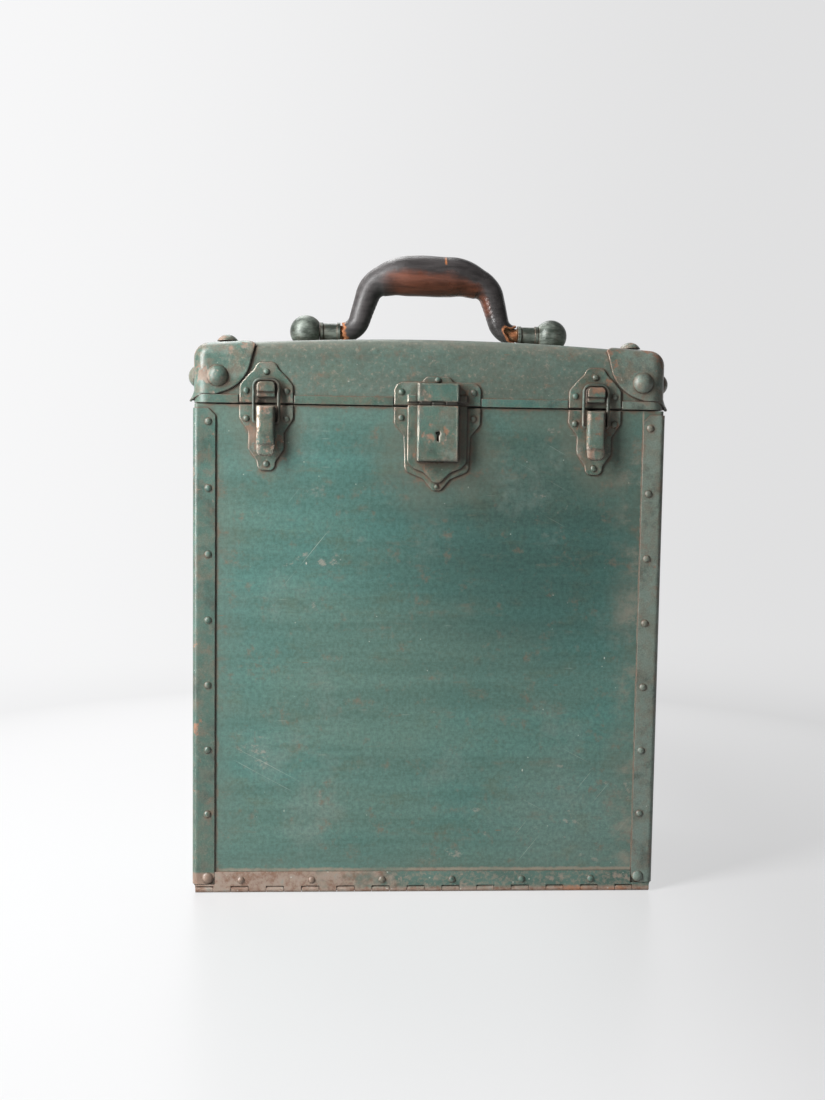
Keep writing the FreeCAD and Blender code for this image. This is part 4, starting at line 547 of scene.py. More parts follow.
def worn_hinge(paint):
    """The bottom hinge: paint worn to pinkish brown on the left, green on the right, rust along the foot."""
    finish = Finish("worn_hinge")
    place = finish.place()
    x, _, z = finish.axes(place)
    cloud = finish.noise(place, 30.0, 5.0, 0.62)
    fine = finish.noise(place, 380.0, 4.0, 0.7)
    green = finish.mix(finish.ramp(cloud, 0.34, 0.70), paint.deep_paint, paint.paint)
    green = finish.mix(finish.ramp(fine, 0.40, 0.72, 0.0, 0.6), green, paint.dust)
    mottle = finish.noise(place, 130.0, 6.0, 0.70)
    brown = finish.mix(finish.ramp(mottle, 0.36, 0.60), paint.rust, paint.primer)
    brown = finish.mix(finish.ramp(fine, 0.48, 0.66, 0.0, 0.7), brown, paint.dust)
    brown = finish.mix(finish.ramp(mottle, 0.58, 0.68, 0.0, 0.6), brown, paint.rubbed)
    green = finish.mix(finish.ramp(mottle, 0.56, 0.66, 0.0, 0.7), green, paint.primer)
    drift = finish.calc("ADD", x, finish.calc("MULTIPLY", finish.calc("SUBTRACT", cloud, 0.5), 0.22))
    worn_side = finish.ramp(drift, -0.018, -0.062)
    low = finish.calc("ADD", z, finish.calc("MULTIPLY", finish.calc("SUBTRACT", fine, 0.5), 6.0 * MM))
    worn_foot = finish.ramp(low, 5.4 * MM, 2.6 * MM)
    colour_now = finish.mix(finish.any_of(worn_side, worn_foot), green, brown)
    far_right = finish.all_of(finish.ramp(x, 0.075, 0.12), worn_foot, finish.ramp(cloud, 0.42, 0.60))
    colour_now = finish.mix(far_right, colour_now, paint.orange_rust)
    chips = finish.all_of(scattered(finish, place, 260.0, 0.20, 0.22), 0.6)
    colour_now = finish.mix(chips, colour_now, paint.speck)
    deep = finish.corners(3.0 * MM)
    # Painted shade, with grime, in the deepest corners.
    colour_now = finish.mix(finish.ramp(deep, 0.62, 0.95, 0.0, 0.9), colour_now, paint.grime_and_shade)
    relief = finish.bump(cloud, 0.30 * MM, finish.node("Bevel", settings={"samples": 6}, Radius=0.5 * MM))
    relief = finish.bump(fine, 0.16 * MM, relief)
    finish.set(Base_Color=colour_now, Roughness=finish.ramp(fine, 0.3, 0.7, 0.55, 0.85), Normal=relief)
    return finish.material


def dull_steel(paint):
    """Old steel with a film of green paint left on it, for posts, wires and pins."""
    finish = Finish("dull_steel")
    place = finish.place()
    cloud = finish.noise(place, 60.0, 6.0, 0.66)
    streak = finish.noise(finish.stretched(place, (70.0, 70.0, 200.0), turn=(0.0, 0.5, 0.0)), 1.0, 5.0, 0.66)
    metal = finish.shade(paint.bare_steel, finish.ramp(streak, 0.3, 0.7, 0.16, 0.50))
    film = finish.mix(finish.ramp(streak, 0.40, 0.66), paint.soot, paint.deep_paint)
    colour_now = finish.mix(finish.ramp(cloud, 0.36, 0.60, 0.20, 0.90), metal, film)
    grey = finish.mix(finish.ramp(streak, 0.36, 0.66), paint.soot, paint.rubbed)
    above = finish.ramp(finish.axes(place)[2], 0.397, 0.401, 0.0, 0.95)
    colour_now = finish.mix(above, colour_now, grey)
    colour_now = finish.mix(finish.ramp(streak, 0.62, 0.72, 0.0, 0.5), colour_now, paint.rubbed)
    sharp = finish.calc("MULTIPLY_ADD", finish.edges(0.8 * MM), 3.0, cloud)
    colour_now = finish.mix(finish.ramp(sharp, 0.80, 1.05, 0.0, 0.8), colour_now, paint.rust)
    colour_now, _ = settle(finish, place, colour_now, paint, 0.6, 0.3)
    relief = finish.bump(cloud, 0.5 * MM, finish.node("Bevel", settings={"samples": 6}, Radius=0.6 * MM))
    relief = finish.bump(streak, 0.2 * MM, relief)
    finish.set(Base_Color=colour_now, Roughness=finish.ramp(streak, 0.3, 0.7, 0.32, 0.52), Normal=relief,
               Metallic=finish.ramp(cloud, 0.40, 0.60, 0.40, 0.15))
    return finish.material


def grip_leather(grip):
    """Dark leather: reddish where hands wore it, raw at its torn ends, with a fine grain and creases.

    Reads the grip's own attributes: along runs from 0 to 1 between its ends, over is 1 on the outer side
    and -1 on the inner side, and torn is 1 at a torn edge.
    """
    finish = Finish("grip_leather")
    place = finish.place()
    along = finish.node("Attribute", output="Fac", settings={"attribute_name": "along"})
    over = finish.node("Attribute", output="Fac", settings={"attribute_name": "over"})
    torn = finish.node("Attribute", output="Fac", settings={"attribute_name": "torn"})
    cloud = finish.noise(place, 60.0, 5.0, 0.62)
    streak = finish.noise(finish.stretched(place, (45.0, 300.0, 300.0)), 1.0, 4.0)
    fine = finish.noise(place, 700.0, 3.0, 0.6)
    dark = finish.shade(grip.leather, finish.ramp(streak, 0.25, 0.75, 0.65, 1.45))
    edge = finish.calc("ADD", over, finish.calc("MULTIPLY", finish.calc("SUBTRACT", cloud, 0.5), 0.9))
    inner = finish.ramp(finish.calc("MULTIPLY_ADD", along, 1.1, edge), 0.78, 0.36)
    span = finish.all_of(finish.ramp(along, 0.27, 0.36), finish.ramp(along, 0.77, 0.69))
    rubbed_leg = finish.all_of(finish.ramp(edge, -0.35, -0.70), finish.ramp(along, 0.72, 0.76),
                               finish.ramp(along, 0.88, 0.84), 0.8)
    worn = finish.any_of(finish.all_of(inner, span), rubbed_leg)
    red = finish.shade(grip.worn_leather, finish.ramp(streak, 0.25, 0.75, 0.55, 1.5))
    colour_now = finish.mix(worn, dark, red)
    nicks = finish.all_of(scattered(finish, place, 130.0, 0.16, 0.16), 0.8)
    colour_now = finish.mix(nicks, colour_now, grip.torn_leather)
    x, y, _ = finish.axes(place)
    nick = finish.ramp(finish.calc("ABSOLUTE", finish.calc("SUBTRACT", x, 15.5 * MM)), 1.1 * MM, 0.5 * MM)
    nick = finish.all_of(nick, finish.ramp(over, 0.40, 0.55), finish.ramp(over, 0.96, 0.90),
                         finish.ramp(fine, 0.3, 0.5), finish.ramp(y, 0.0, -1.0 * MM))
    colour_now = finish.mix(nick, colour_now, grip.torn_leather)
    raw = finish.ramp(finish.calc("ADD", torn, finish.calc("MULTIPLY", cloud, 0.5)), 0.62, 0.95)
    raw_tone = finish.shade(grip.torn_leather, finish.ramp(fine, 0.3, 0.7, 0.5, 1.2))
    colour_now = finish.mix(raw, colour_now, raw_tone)
    distance, _ = finish.cells(place, 1300.0)
    relief = finish.bump(cloud, 0.35 * MM)
    relief = finish.bump(streak, 0.15 * MM, relief)
    relief = finish.bump(distance, 0.08 * MM, relief)
    rubbed = finish.calc("MULTIPLY", finish.ramp(along, 0.20, 0.66, 0.26, 0.0),
                         finish.ramp(cloud, 0.2, 0.6, 0.5, 1.0))
    rough = finish.calc("ADD", finish.ramp(cloud, 0.3, 0.7, 0.24, 0.36), rubbed)
    rough = finish.calc("MULTIPLY_ADD", raw, 0.4, rough)
    finish.set(Base_Color=colour_now, Roughness=rough, Normal=relief, Coat_Weight=0.10, Coat_Roughness=0.25)
    return finish.material


def grip_core(grip):
    """Rough tan core that shows where the leather is torn."""
    finish = Finish("grip_core")
    place = finish.place()
    fibre = finish.noise(finish.stretched(place, (140.0, 700.0, 700.0)), 1.0, 5.0, 0.7)
    cloud = finish.noise(place, 150.0, 4.0)
    colour_now = finish.mix(finish.ramp(cloud, 0.42, 0.60), grip.torn_leather, grip.filling)
    colour_now = finish.shade(colour_now, finish.ramp(fibre, 0.3, 0.7, 0.55, 1.15))
    finish.set(Base_Color=colour_now, Roughness=0.9, Normal=finish.bump(fibre, 0.4 * MM))
    return finish.material


def bent_line(corners, bends, count):
    """Places along a line of straight runs joined by tangent arcs, evenly spaced, with its directions.

    Each inner corner is cut back by bend / tan(half its angle) on both sides, and the arc between the two
    cuts has its centre on the corner's bisector.
    """
    corners = np.asarray(corners, float)
    pieces = [corners[:1]]
    for before, here, after, bend in zip(corners, corners[1:], corners[2:], bends):
        back = (before - here) / np.linalg.norm(before - here)
        ahead = (after - here) / np.linalg.norm(after - here)
        half = math.acos(float(back @ ahead)) / 2
        bisector = (back + ahead) / np.linalg.norm(back + ahead)
        centre = here + bisector * bend / math.sin(half)
        reach = math.pi / 2 - half
        swing = np.linspace(-reach, reach, 33)[:, None]
        sideways = ahead - bisector * float(ahead @ bisector)
        sideways = sideways / np.linalg.norm(sideways)
        pieces.append(centre + bend * (sideways * np.sin(swing) - bisector * np.cos(swing)))
    pieces.append(corners[-1:])
    line = np.concatenate(pieces)
    run = np.concatenate([[0.0], np.cumsum(np.linalg.norm(np.diff(line, axis=0), axis=1))])
    even = np.linspace(0.0, run[-1], count)
    places = np.stack([np.interp(even, run, line[:, axis]) for axis in range(line.shape[1])], axis=1)
    directions = np.gradient(places, axis=0)
    directions /= np.linalg.norm(directions, axis=1, keepdims=True)
    return places, directions, run[-1]


def tube_mesh(name, points, closed_ends=False):
    """Mesh of a tube from a grid of points, rings by sides, joined round each ring."""
    rings, sides = points.shape[:2]
    index = np.arange(rings * sides).reshape(rings, sides)
    following = np.roll(index, -1, axis=1)
    quads = np.stack([index[:-1], index[1:], following[1:], following[:-1]], axis=-1).reshape(-1, 4)
    faces = quads.tolist()
    if closed_ends:
        faces += [index[0].tolist(), index[-1, ::-1].tolist()]
    mesh = bpy.data.meshes.new(name)
    mesh.from_pydata(points.reshape(-1, 3), [], faces)
    mesh.shade_smooth()
    mesh.update()
    piece = bpy.data.objects.new(name, mesh)
    bpy.context.scene.collection.objects.link(piece)
    return piece


def sheet_mesh(name, points):
    """Mesh of an open sheet from a grid of points; it faces along the first axis crossed with the second."""
    rows, columns = points.shape[:2]
    index = np.arange(rows * columns).reshape(rows, columns)
    quads = np.stack([index[:-1, :-1], index[1:, :-1], index[1:, 1:], index[:-1, 1:]], axis=-1)
    mesh = bpy.data.meshes.new(name)
    mesh.from_pydata(points.reshape(-1, 3), [], quads.reshape(-1, 4).tolist())
    mesh.shade_smooth()
    mesh.update()
    piece = bpy.data.objects.new(name, mesh)
    bpy.context.scene.collection.objects.link(piece)
    return piece


def set_attribute(piece, name, values):
    """Number for every point of a piece, for its material to read."""
    attribute = piece.data.attributes.new(name, "FLOAT", "POINT")
    attribute.data.foreach_set("value", np.ascontiguousarray(values, dtype=np.float32).ravel())


def smooth_profile(share, stations, values):
    """Values at stations along a length, joined by cubics whose slopes never overshoot the values.

    The slope at a station is the harmonic mean of the slopes on both sides, and 0 at the last station.
    """
    stations = np.asarray(stations)
    values = np.asarray(values)
    gaps = np.diff(stations)
    rise = np.diff(values) / gaps
    slopes = np.concatenate([rise[:1], 2.0 * rise[:-1] * rise[1:] / (rise[:-1] + rise[1:]), [0.0]])
    spot = np.clip(np.searchsorted(stations, share, side="right") - 1, 0, len(gaps) - 1)
    part = (share - stations[spot]) / gaps[spot]
    start = (1.0 + 2.0 * part) * (1.0 - part) ** 2 * values[spot]
    end = part ** 2 * (3.0 - 2.0 * part) * values[spot + 1]
    leave = part * (1.0 - part) ** 2 * gaps[spot] * slopes[spot]
    arrive = part ** 2 * (part - 1.0) * gaps[spot] * slopes[spot + 1]
    return start + end + leave + arrive


def grip_line(grip, count):
    """The grip's centre line in the x, z plane: foot, leg, head and crown, mirrored about its middle."""
    joint = next(j for j in frame["joints"] if j["name"] == "handle_swing")
    middle = np.array([joint["pos_m"][0], joint["pos_m"][2]])
    right = np.array([[grip.crown_x, grip.crown_up], [grip.head_x, grip.head_up], [grip.foot_x, 0.0],
                      [grip.end_x, 0.0]])
    left = right[::-1] * (-1.0, 1.0)
    bends = [grip.foot_bend, grip.head_bend, grip.crown_bend]
    return bent_line(np.concatenate([left, right]) + middle, bends + bends[::-1], count)


def grip_radii(grip, along):
    """Radius along the grip: thin at its ends, fat in the middle, the same both ways."""
    from_end = 1.0 - np.abs(2.0 * along - 1.0)
    radii = (grip.end_radius, grip.leg_radius, grip.head_radius, grip.shoulder_radius, grip.palm_radius,
             grip.middle_radius)
    return smooth_profile(from_end, (0.0, 0.32, 0.5, 0.66, 0.82, 1.0), radii)


def rings_round(places, directions, radius, angle):
    """Circles round a line in the x, z plane: outwards is the left of its direction, angle 0 is outwards.

    A point lies radius * cos(angle) along the outward normal and radius * sin(angle) along +Y.
    """
    normal_x = -directions[..., 1]
    normal_z = directions[..., 0]
    reach = radius * np.cos(angle)
    return np.stack([places[..., 0] + normal_x * reach, radius * np.sin(angle),
                     places[..., 1] + normal_z * reach], axis=-1)


def waves(first, second, seed, count, reach):
    """Uneven surface: a sum of sine waves over two parameters with seeded directions and phases."""
    draw = np.random.default_rng(seed)
    total = np.zeros(np.broadcast(first, second).shape)
    for _ in range(count):
        pull = draw.uniform(-reach, reach)
        turns = draw.integers(1, 4)
        phase = draw.uniform(0.0, 2.0 * np.pi)
        total += np.sin(first * pull + second * turns + phase)
    return total / math.sqrt(count)


def make_grip(grip):
    """Leather tube round the grip's line, with dents, creases, a seam and torn ends.

    The rings run between two ragged edges: each edge's place along the line is a function of the angle,
    set back where the leather is torn away at the right end.
    """
    count = grip.rings
    fine = 40 * count
    places, directions, run = grip_line(grip, fine)
    angle = np.linspace(0.0, 2.0 * np.pi, grip.sides, endpoint=False)[None, :]
    share = np.linspace(0.0, 1.0, count)[:, None]
    ragged = 0.5 + 0.3 * np.sin(5.0 * angle + 0.7) + 0.2 * np.sin(11.0 * angle + 2.1)
    tear = np.exp(-(((angle - 1.52 * np.pi) / 0.62) ** 2))
    left_edge = (1.0 * MM + 2.2 * MM * ragged) / run
    right_edge = 1.0 - (1.0 * MM + 2.4 * MM * ragged + 11.0 * MM * tear) / run
    along = left_edge + (right_edge - left_edge) * share
    spot = along * (fine - 1)
    low = np.clip(spot.astype(int), 0, fine - 2)
    blend = (spot - low)[..., None]
    centre = places[low] * (1.0 - blend) + places[low + 1] * blend
    heading = directions[low] * (1.0 - blend) + directions[low + 1] * blend

    radius = grip_radii(grip, along)
    dents = np.minimum(waves(along * 40.0, angle, 3, 9, 1.0) * 0.22 * MM, 0.2 * MM)
    bend = np.exp(-(((along - 0.155) / 0.05) ** 2)) + np.exp(-(((along - 0.845) / 0.05) ** 2))
    inner = np.clip(-np.cos(angle), 0.0, 1.0)
    creases = -0.28 * MM * bend * inner * (0.5 + 0.5 * np.sin(along * 330.0 + 1.3 * np.sin(3.0 * angle)))
    seam = -0.55 * MM * np.exp(-((np.abs(angle - np.pi) / 0.05) ** 2))
    lifted = 0.5 * MM * np.clip((along - right_edge) * run / (6.0 * MM) + 1.0, 0.0, 1.0) ** 2
    points = rings_round(centre, heading, radius - 0.25 * MM + dents + creases + seam + lifted, angle)
    piece = tube_mesh("leather_grip", points)
    set_attribute(piece, "along", along)
    set_attribute(piece, "over", np.broadcast_to(np.cos(angle), along.shape))
    from_edge = np.minimum(along - left_edge, right_edge - along) * run
    set_attribute(piece, "torn", np.clip(1.0 - from_edge / (5.0 * MM), 0.0, 1.0))
    wall = piece.modifiers.new("leather thickness", "SOLIDIFY")
    wall.thickness = 1.3 * MM
    wall.offset = -1.0
    return piece


def make_cap_lip(name, side, reach, drop, turn_away):
    """Bent lower edge of a front corner cap: a strip of sheet round the corner that flares outwards.

    The strip follows the front, the corner's quarter circle and the side. It starts just under the cap's
    surface and leaves it with the 1.7th power of the way down, most at the corner and not at all at the
    strip's ends, and its torn edge hangs lower by drop. side is -1 or 1, reach the flare and turn_away the
    share of the strip's length where it flares most.
    """
    half_w, half_d = 167.4 * MM, 101.4 * MM
    radius = 11.4 * MM
    before, behind = 5.0 * MM, 28.0 * MM
    arc = radius * math.pi / 2
    run = np.linspace(0.0, before + arc + behind, 150)[None, :]
    angle = np.clip((run - before) / radius, 0.0, math.pi / 2)
    back = np.clip(run - before - arc, 0.0, None)
    x = half_w - radius + radius * np.sin(angle) - np.clip(before - run, 0.0, None)
    y = -half_d + radius - radius * np.cos(angle) + back
    share = run / run[0, -1]
    down = np.linspace(0.0, 1.0, 36)[:, None]
    peak = np.exp(-(((share - turn_away) / 0.22) ** 2)) * np.sin(np.pi * share) ** 0.5
    torn = 0.6 * np.sin(41.0 * share + 1.0) + 0.4 * np.sin(87.0 * share)
    low = 356.9 * MM - (drop + 0.5 * MM * torn) * peak
    top = 364.0 * MM
    ripple = 1.0 + 0.18 * np.sin(23.0 * share + 3.0 * down)
    away = (0.8 * down * peak - 0.8) * MM + reach * peak * ripple * down ** 1.7
    z = top + (low - top) * down
    points = np.stack([side * (x + np.sin(angle) * away), y - np.cos(angle) * away,
                       np.broadcast_to(z, away.shape)], axis=-1)
    piece = sheet_mesh(name, points if side > 0 else points[:, ::-1])
    wall = piece.modifiers.new("sheet thickness", "SOLIDIFY")
    wall.thickness = 1.1 * MM
    wall.offset = -1.0
    return piece


def make_lever(name, x_mid):
    """Pressed lever of a latch: a channel with a round front, folded near its end into a rounded lip.

    A U profile, two walls and a front joined by arcs, is carried down the lever. Its width, the depth of its
    walls and the place of its front are functions of the height, and the front bulges by a parabola across.
    """
    half, wall, bulge, end_round = 6.5, 7.0, 0.55, 3.4
    low, fold, high = -35.8, -27.8, -1.2
    profile = bent_line([(-half, -wall), (-half, 0.0), (half, 0.0), (half, -wall)], [2.2, 2.2], 81)[0]
    across = profile[None, :, 0] / half
    up = np.linspace(high, low, 120)[:, None]
    front = np.interp(up, [low, fold - 0.7, fold + 0.5, -3.0, -1.9, high], [8.7, 8.2, 8.9, 8.9, 8.75, 8.3])
    depth = np.interp(up, [low, fold - 0.7, fold + 0.5, -16.0, -3.0, high], [0.6, 0.8, 3.0, 6.6, 6.6, 5.6])
    into_end = np.clip(1.0 - (up - low) / end_round, 0.0, 1.0)
    width = np.interp(up, [fold - 0.7, fold + 0.5], [half - 0.3, half])
    width = width - end_round * (1.0 - np.sqrt(1.0 - into_end ** 2))
    out = front + profile[None, :, 1] / wall * depth + bulge * (1.0 - across ** 2)
    points = np.stack([x_mid + across * width * MM, -(100.0 + out) * MM,
                       np.broadcast_to(350.0 + up, out.shape) * MM], axis=-1)
    piece = sheet_mesh(name, points)
    set_attribute(piece, "pressed", np.ones(out.shape))
    sheet = piece.modifiers.new("sheet thickness", "SOLIDIFY")
    sheet.thickness = 0.8 * MM
    sheet.offset = -1.0
    return piece


def make_grip_filling(grip):
    """Lumpy core inside the leather, seen at its torn ends: the grip's own tube, thinner by the leather."""
    count = 160
    places, directions, _ = grip_line(grip, count)
    along = np.linspace(0.0, 1.0, count)[:, None]
    angle = np.linspace(0.0, 2.0 * np.pi, 48, endpoint=False)[None, :]
    lumps = waves(along * 160.0, angle, 8, 12, 1.0) * 0.3 * MM
    radius = grip_radii(grip, along) - 2.6 * MM + lumps
    points = rings_round(places[:, None, :], directions[:, None, :], radius, angle)
    return tube_mesh("grip_filling", points, closed_ends=True)


def ready(piece, body, material, slot, *replaced):
    """Give a new piece its finish and its body, and hide the construction nodes that it stands for. slot is not
    used.
    """
    piece.data.materials.append(material)
    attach(piece, body)
    if replaced:
        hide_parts(*replaced)


class CASE_OT_paint_boards(bpy.types.Operator):
    """Paint the walls, the bottom and the lid's boards"""

    bl_idname = "case.paint_boards"
    bl_label = "Paint Boards"

    def execute(self, context):
        boards = [s["node"] for s in frame["record"]["subparts"] if s["material_slot"] == "painted_board"]
        dress(painted_board(context.scene.case_paint), *boards)
        return {"FINISHED"}


class CASE_OT_paint_steel(bpy.types.Operator):
    """Paint the angles, edgings, caps, plates, levers and rivets"""

    bl_idname = "case.paint_steel"
    bl_label = "Paint Steel"

    def execute(self, context):
        paint = context.scene.case_paint
        steel = [s["node"] for s in frame["record"]["subparts"] if s["material_slot"] == "painted_steel"]
        fittings = [name for name in steel if name.startswith(("latch", "lock", "hasp"))]
        caps = nodes_like("lid_cap_")
        pressed = nodes_like("latch_lever_", "lock_cover", "lock_knuckle_box")
        dress(steel_paint("painted_steel", paint, 0.2, 0.2, 0.2, 0.8 * MM), *steel)
        dress(steel_paint("painted_fittings", paint, 0.9, 1.5, 0.7, 1.5 * MM), *fittings)
        dress(steel_paint("painted_pressings", paint, 1.0, 1.25, 0.4, 3.0 * MM), *pressed)
        dress(steel_paint("painted_caps", paint, 0.8, 1.2, 0.9, 1.5 * MM), *caps)
        return {"FINISHED"}


class CASE_OT_wear_hinge(bpy.types.Operator):
    """Wear the paint off the bottom hinge"""

    bl_idname = "case.wear_hinge"
    bl_label = "Wear Bottom Hinge"

    def execute(self, context):
        dress(worn_hinge(context.scene.case_paint), *nodes_like("front_hinge_"))
        return {"FINISHED"}


class CASE_OT_age_metal(bpy.types.Operator):
    """Age the posts, wires, pins and the lock's inner pieces"""

    bl_idname = "case.age_metal"
    bl_label = "Age Bare Metal"

    def execute(self, context):
        bare = [s["node"] for s in frame["record"]["subparts"] if s["material_slot"] == "bare_steel"]
        bare = [name for name in bare if not name.startswith("front_hinge_")]
        dress(dull_steel(context.scene.case_paint), *bare, *nodes_like("handle_post_"))
        return {"FINISHED"}


class CASE_OT_cover_grip(bpy.types.Operator):
    """Make the leather grip and the core that shows at its torn ends"""

    bl_idname = "case.cover_grip"
    bl_label = "Cover Grip"

    def execute(self, context):
        grip = context.scene.case_grip
        ready(make_grip(grip), "handle", grip_leather(grip), "leather", "handle_grip")
        ready(make_grip_filling(grip), "handle", grip_core(grip), "leather")
        return {"FINISHED"}


class CASE_OT_bend_caps(bpy.types.Operator):
    """Bend and tear the lower corners of the front corner caps"""

    bl_idname = "case.bend_caps"
    bl_label = "Bend Caps"

    def execute(self, context):
        finish = bpy.data.materials["painted_caps"]
        lips = (make_cap_lip("cap_lip_left", -1.0, 3.0 * MM, 4.6 * MM, 0.50),
                make_cap_lip("cap_lip_right", 1.0, 3.2 * MM, 6.0 * MM, 0.50))
        for lip in lips:
            ready(lip, "lid", finish, "painted_steel")
        return {"FINISHED"}


class CASE_OT_press_levers(bpy.types.Operator):
    """Press the rounded levers of the two latches"""

    bl_idname = "case.press_levers"
    bl_label = "Press Levers"

    def execute(self, context):
        finish = bpy.data.materials["painted_pressings"]
        for side, x_mid in (("left", -116.0 * MM), ("right", 116.0 * MM)):
            lever = make_lever(f"pressed_lever_{side}", x_mid)
            ready(lever, f"lever_{side}", finish, "painted_steel", f"latch_lever_{side}")
        return {"FINISHED"}


class CASE_OT_set_stage(bpy.types.Operator):
    """Set up the floor, the backdrop, the lamps and the camera"""

    bl_idname = "case.set_stage"
    bl_label = "Set Stage"

    def execute(self, context):
        stage = context.scene.case_stage
        make_backdrop(stage)
        make_light(context, stage)
        make_camera(context, stage)
        context.scene.view_settings.view_transform = "Standard"
        return {"FINISHED"}


def make_backdrop(stage):
    """Floor that bends up into a wall: a profile of flat, quarter circle and upright, carried along X."""
    turn = np.linspace(0.0, np.pi / 2, 25)
    start, bend, half_width, height = 3.0, 0.8, 6.0, 4.0
    profile_y = np.concatenate([[-6.0], start + bend * np.sin(turn), [start + bend]])
    profile_z = np.concatenate([[0.0], bend - bend * np.cos(turn), [height]])
    across = np.array([-half_width, half_width])
    points = np.stack([np.broadcast_to(across[None, :], (len(profile_y), 2)),
                       np.broadcast_to(profile_y[:, None], (len(profile_y), 2)),
                       np.broadcast_to(profile_z[:, None], (len(profile_y), 2))], axis=-1)
    index = np.arange(points.shape[0] * 2).reshape(-1, 2)
    quads = np.stack([index[:-1, 0], index[:-1, 1], index[1:, 1], index[1:, 0]], axis=-1)
    mesh = bpy.data.meshes.new("floor_and_wall")
    mesh.from_pydata(points.reshape(-1, 3), [], quads.tolist())
    mesh.shade_smooth()
    floor = bpy.data.objects.new("floor_and_wall", mesh)
    bpy.context.scene.collection.objects.link(floor)
    finish = Finish("pale_floor")
    place = finish.place()
    x, y, _ = finish.axes(place)
    apart = oval(finish, x, y, (0.0, 0.0), (1.0, 1.0))
    seen = finish.any_of(finish.node("LightPath", output="Is Camera Ray"),
                         finish.node("LightPath", output="Is Glossy Ray"))
    far = finish.all_of(finish.ramp(apart, 0.25, 1.00, 0.68, 1.0), seen)
    aside = finish.calc("DIVIDE", x, finish.calc("ADD", finish.calc("MAXIMUM", y, -0.5), 1.0))
    # The glow that the camera and gloss see is brighter on the left and darker on the right: painted falloff of
    # the window's light on the wall, and painted shadow on the table right of the case.
    wall_painted_falloff = finish.ramp(aside, -0.40, 0.40, 1.09, 0.86)
    floor_painted_shadow = finish.ramp(x, 0.02, 0.32, 1.04, 0.79)
    painted_falloff = finish.node("Mix", Factor=finish.ramp(y, 0.0, 1.2), A=floor_painted_shadow, B=wall_painted_falloff)
    glow_with_painted_falloff = finish.shade(stage.backdrop, painted_falloff)
    tone = finish.mix(seen, stage.bounce, stage.floor)
    finish.set(Base_Color=finish.shade(tone, finish.calc("SUBTRACT", 1.0, far)), Roughness=0.30,
               Specular_IOR_Level=finish.ramp(apart, 0.22, 0.7, 0.25, 0.0),
               Emission_Color=glow_with_painted_falloff, Emission_Strength=far)
    mesh.materials.append(finish.material)


def make_lamp(context, name, place, target, size, power):
    """Rectangular soft lamp at a place, turned towards a target; size is its width and height."""
    lamp = bpy.data.lights.new(name, "AREA")
    lamp.shape = "RECTANGLE"
    lamp.size, lamp.size_y = size
    lamp.energy = power
    piece = bpy.data.objects.new(name, lamp)
    piece.location = place
    piece.rotation_euler = (Vector(target) - piece.location).to_track_quat("-Z", "Y").to_euler()
    context.scene.collection.objects.link(piece)
    return piece


def make_light(context, stage):
    """Even light from all round, a window on the left, a strip for the gloss and a soft lamp behind."""
    world = bpy.data.worlds.new("even_light")
    world.use_nodes = True
    tree = world.node_tree
    seen = tree.nodes.new("ShaderNodeLightPath").outputs["Is Camera Ray"]
    strength = tree.nodes.new("ShaderNodeMapRange")
    strength.inputs["To Min"].default_value = stage.fill
    strength.inputs["To Max"].default_value = stage.backdrop[0]
    tree.links.new(seen, strength.inputs["Value"])
    tree.nodes["Background"].inputs["Color"].default_value = (1.0, 1.0, 1.0, 1.0)
    tree.links.new(strength.outputs["Result"], tree.nodes["Background"].inputs["Strength"])
    context.scene.world = world
    make_lamp(context, "window", (-1.00, -0.66, 0.82), (0.0, 0.0, 0.22), (0.40, 1.30), stage.key)
    make_lamp(context, "behind", (-0.50, 1.20, 1.90), (0.0, 0.0, 0.25), (1.20, 1.20), stage.behind)
    strip = make_lamp(context, "edge_strip", (-0.95, -0.60, 0.22), (0.0, 0.0, 0.30), (0.10, 0.40), stage.edge)
    strip.visible_diffuse = False


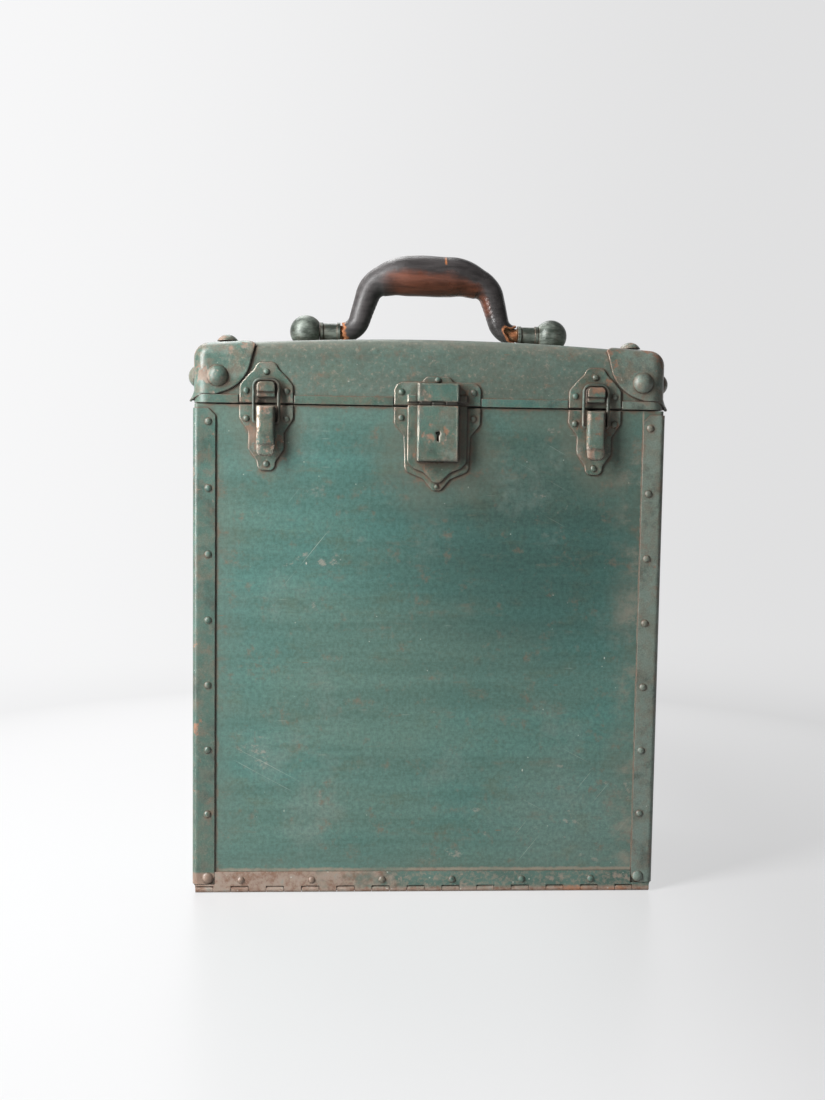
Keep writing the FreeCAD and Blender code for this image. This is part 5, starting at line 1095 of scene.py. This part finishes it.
def make_camera(context, stage):
    """Camera at the photograph's place: turned by yaw, tilted by pitch and leant by roll."""
    lens = bpy.data.cameras.new("camera")
    lens.sensor_fit = "VERTICAL"
    lens.sensor_height = 36.0
    lens.lens = stage.focal
    camera = bpy.data.objects.new("camera", lens)
    turn = Matrix.Rotation(stage.yaw, 3, "Z")
    forward = turn @ Vector((0.0, math.cos(stage.pitch), -math.sin(stage.pitch)))
    right = turn @ Vector((1.0, 0.0, 0.0))
    up = right.cross(forward)
    leant_right = right * math.cos(stage.roll) + up * math.sin(stage.roll)
    leant_up = up * math.cos(stage.roll) - right * math.sin(stage.roll)
    rotation = Matrix((leant_right, leant_up, -forward)).transposed()
    camera.matrix_world = Matrix.Translation(Vector(stage.camera_place)) @ rotation.to_4x4()
    context.scene.collection.objects.link(camera)
    context.scene.camera = camera


OPERATORS = (CASE_OT_paint_boards, CASE_OT_paint_steel, CASE_OT_wear_hinge, CASE_OT_age_metal,
             CASE_OT_bend_caps, CASE_OT_press_levers, CASE_OT_cover_grip, CASE_OT_set_stage)


class CASE_PT_panel(bpy.types.Panel):
    """Steps that dress the case, and the values that they use"""

    bl_idname = "CASE_PT_panel"
    bl_label = "Old Green Case"
    bl_space_type = "VIEW_3D"
    bl_region_type = "UI"
    bl_category = "Case"

    def draw(self, context):
        for operator in OPERATORS:
            self.layout.operator(operator.bl_idname)
        for settings in (context.scene.case_paint, context.scene.case_grip, context.scene.case_stage):
            values = self.layout.box()
            for name in settings.__annotations__:
                values.prop(settings, name)


SETTINGS = {"case_paint": CasePaintSettings, "case_grip": CaseGripSettings, "case_stage": CaseStageSettings}
CLASSES = (*SETTINGS.values(), *OPERATORS, CASE_PT_panel)


def register():
    """Add the classes and the scene's settings."""
    for cls in CLASSES:
        bpy.utils.register_class(cls)
    for name, group in SETTINGS.items():
        setattr(bpy.types.Scene, name, PointerProperty(type=group))


def unregister():
    """Remove the settings and the classes."""
    for name in SETTINGS:
        delattr(bpy.types.Scene, name)
    for cls in reversed(CLASSES):
        bpy.utils.unregister_class(cls)


def main():
    """Dress the case and set up the studio."""
    register()
    for operator in OPERATORS:
        group, step = operator.bl_idname.split(".")
        getattr(getattr(bpy.ops, group), step)()


if __name__ == "__main__":
    main()
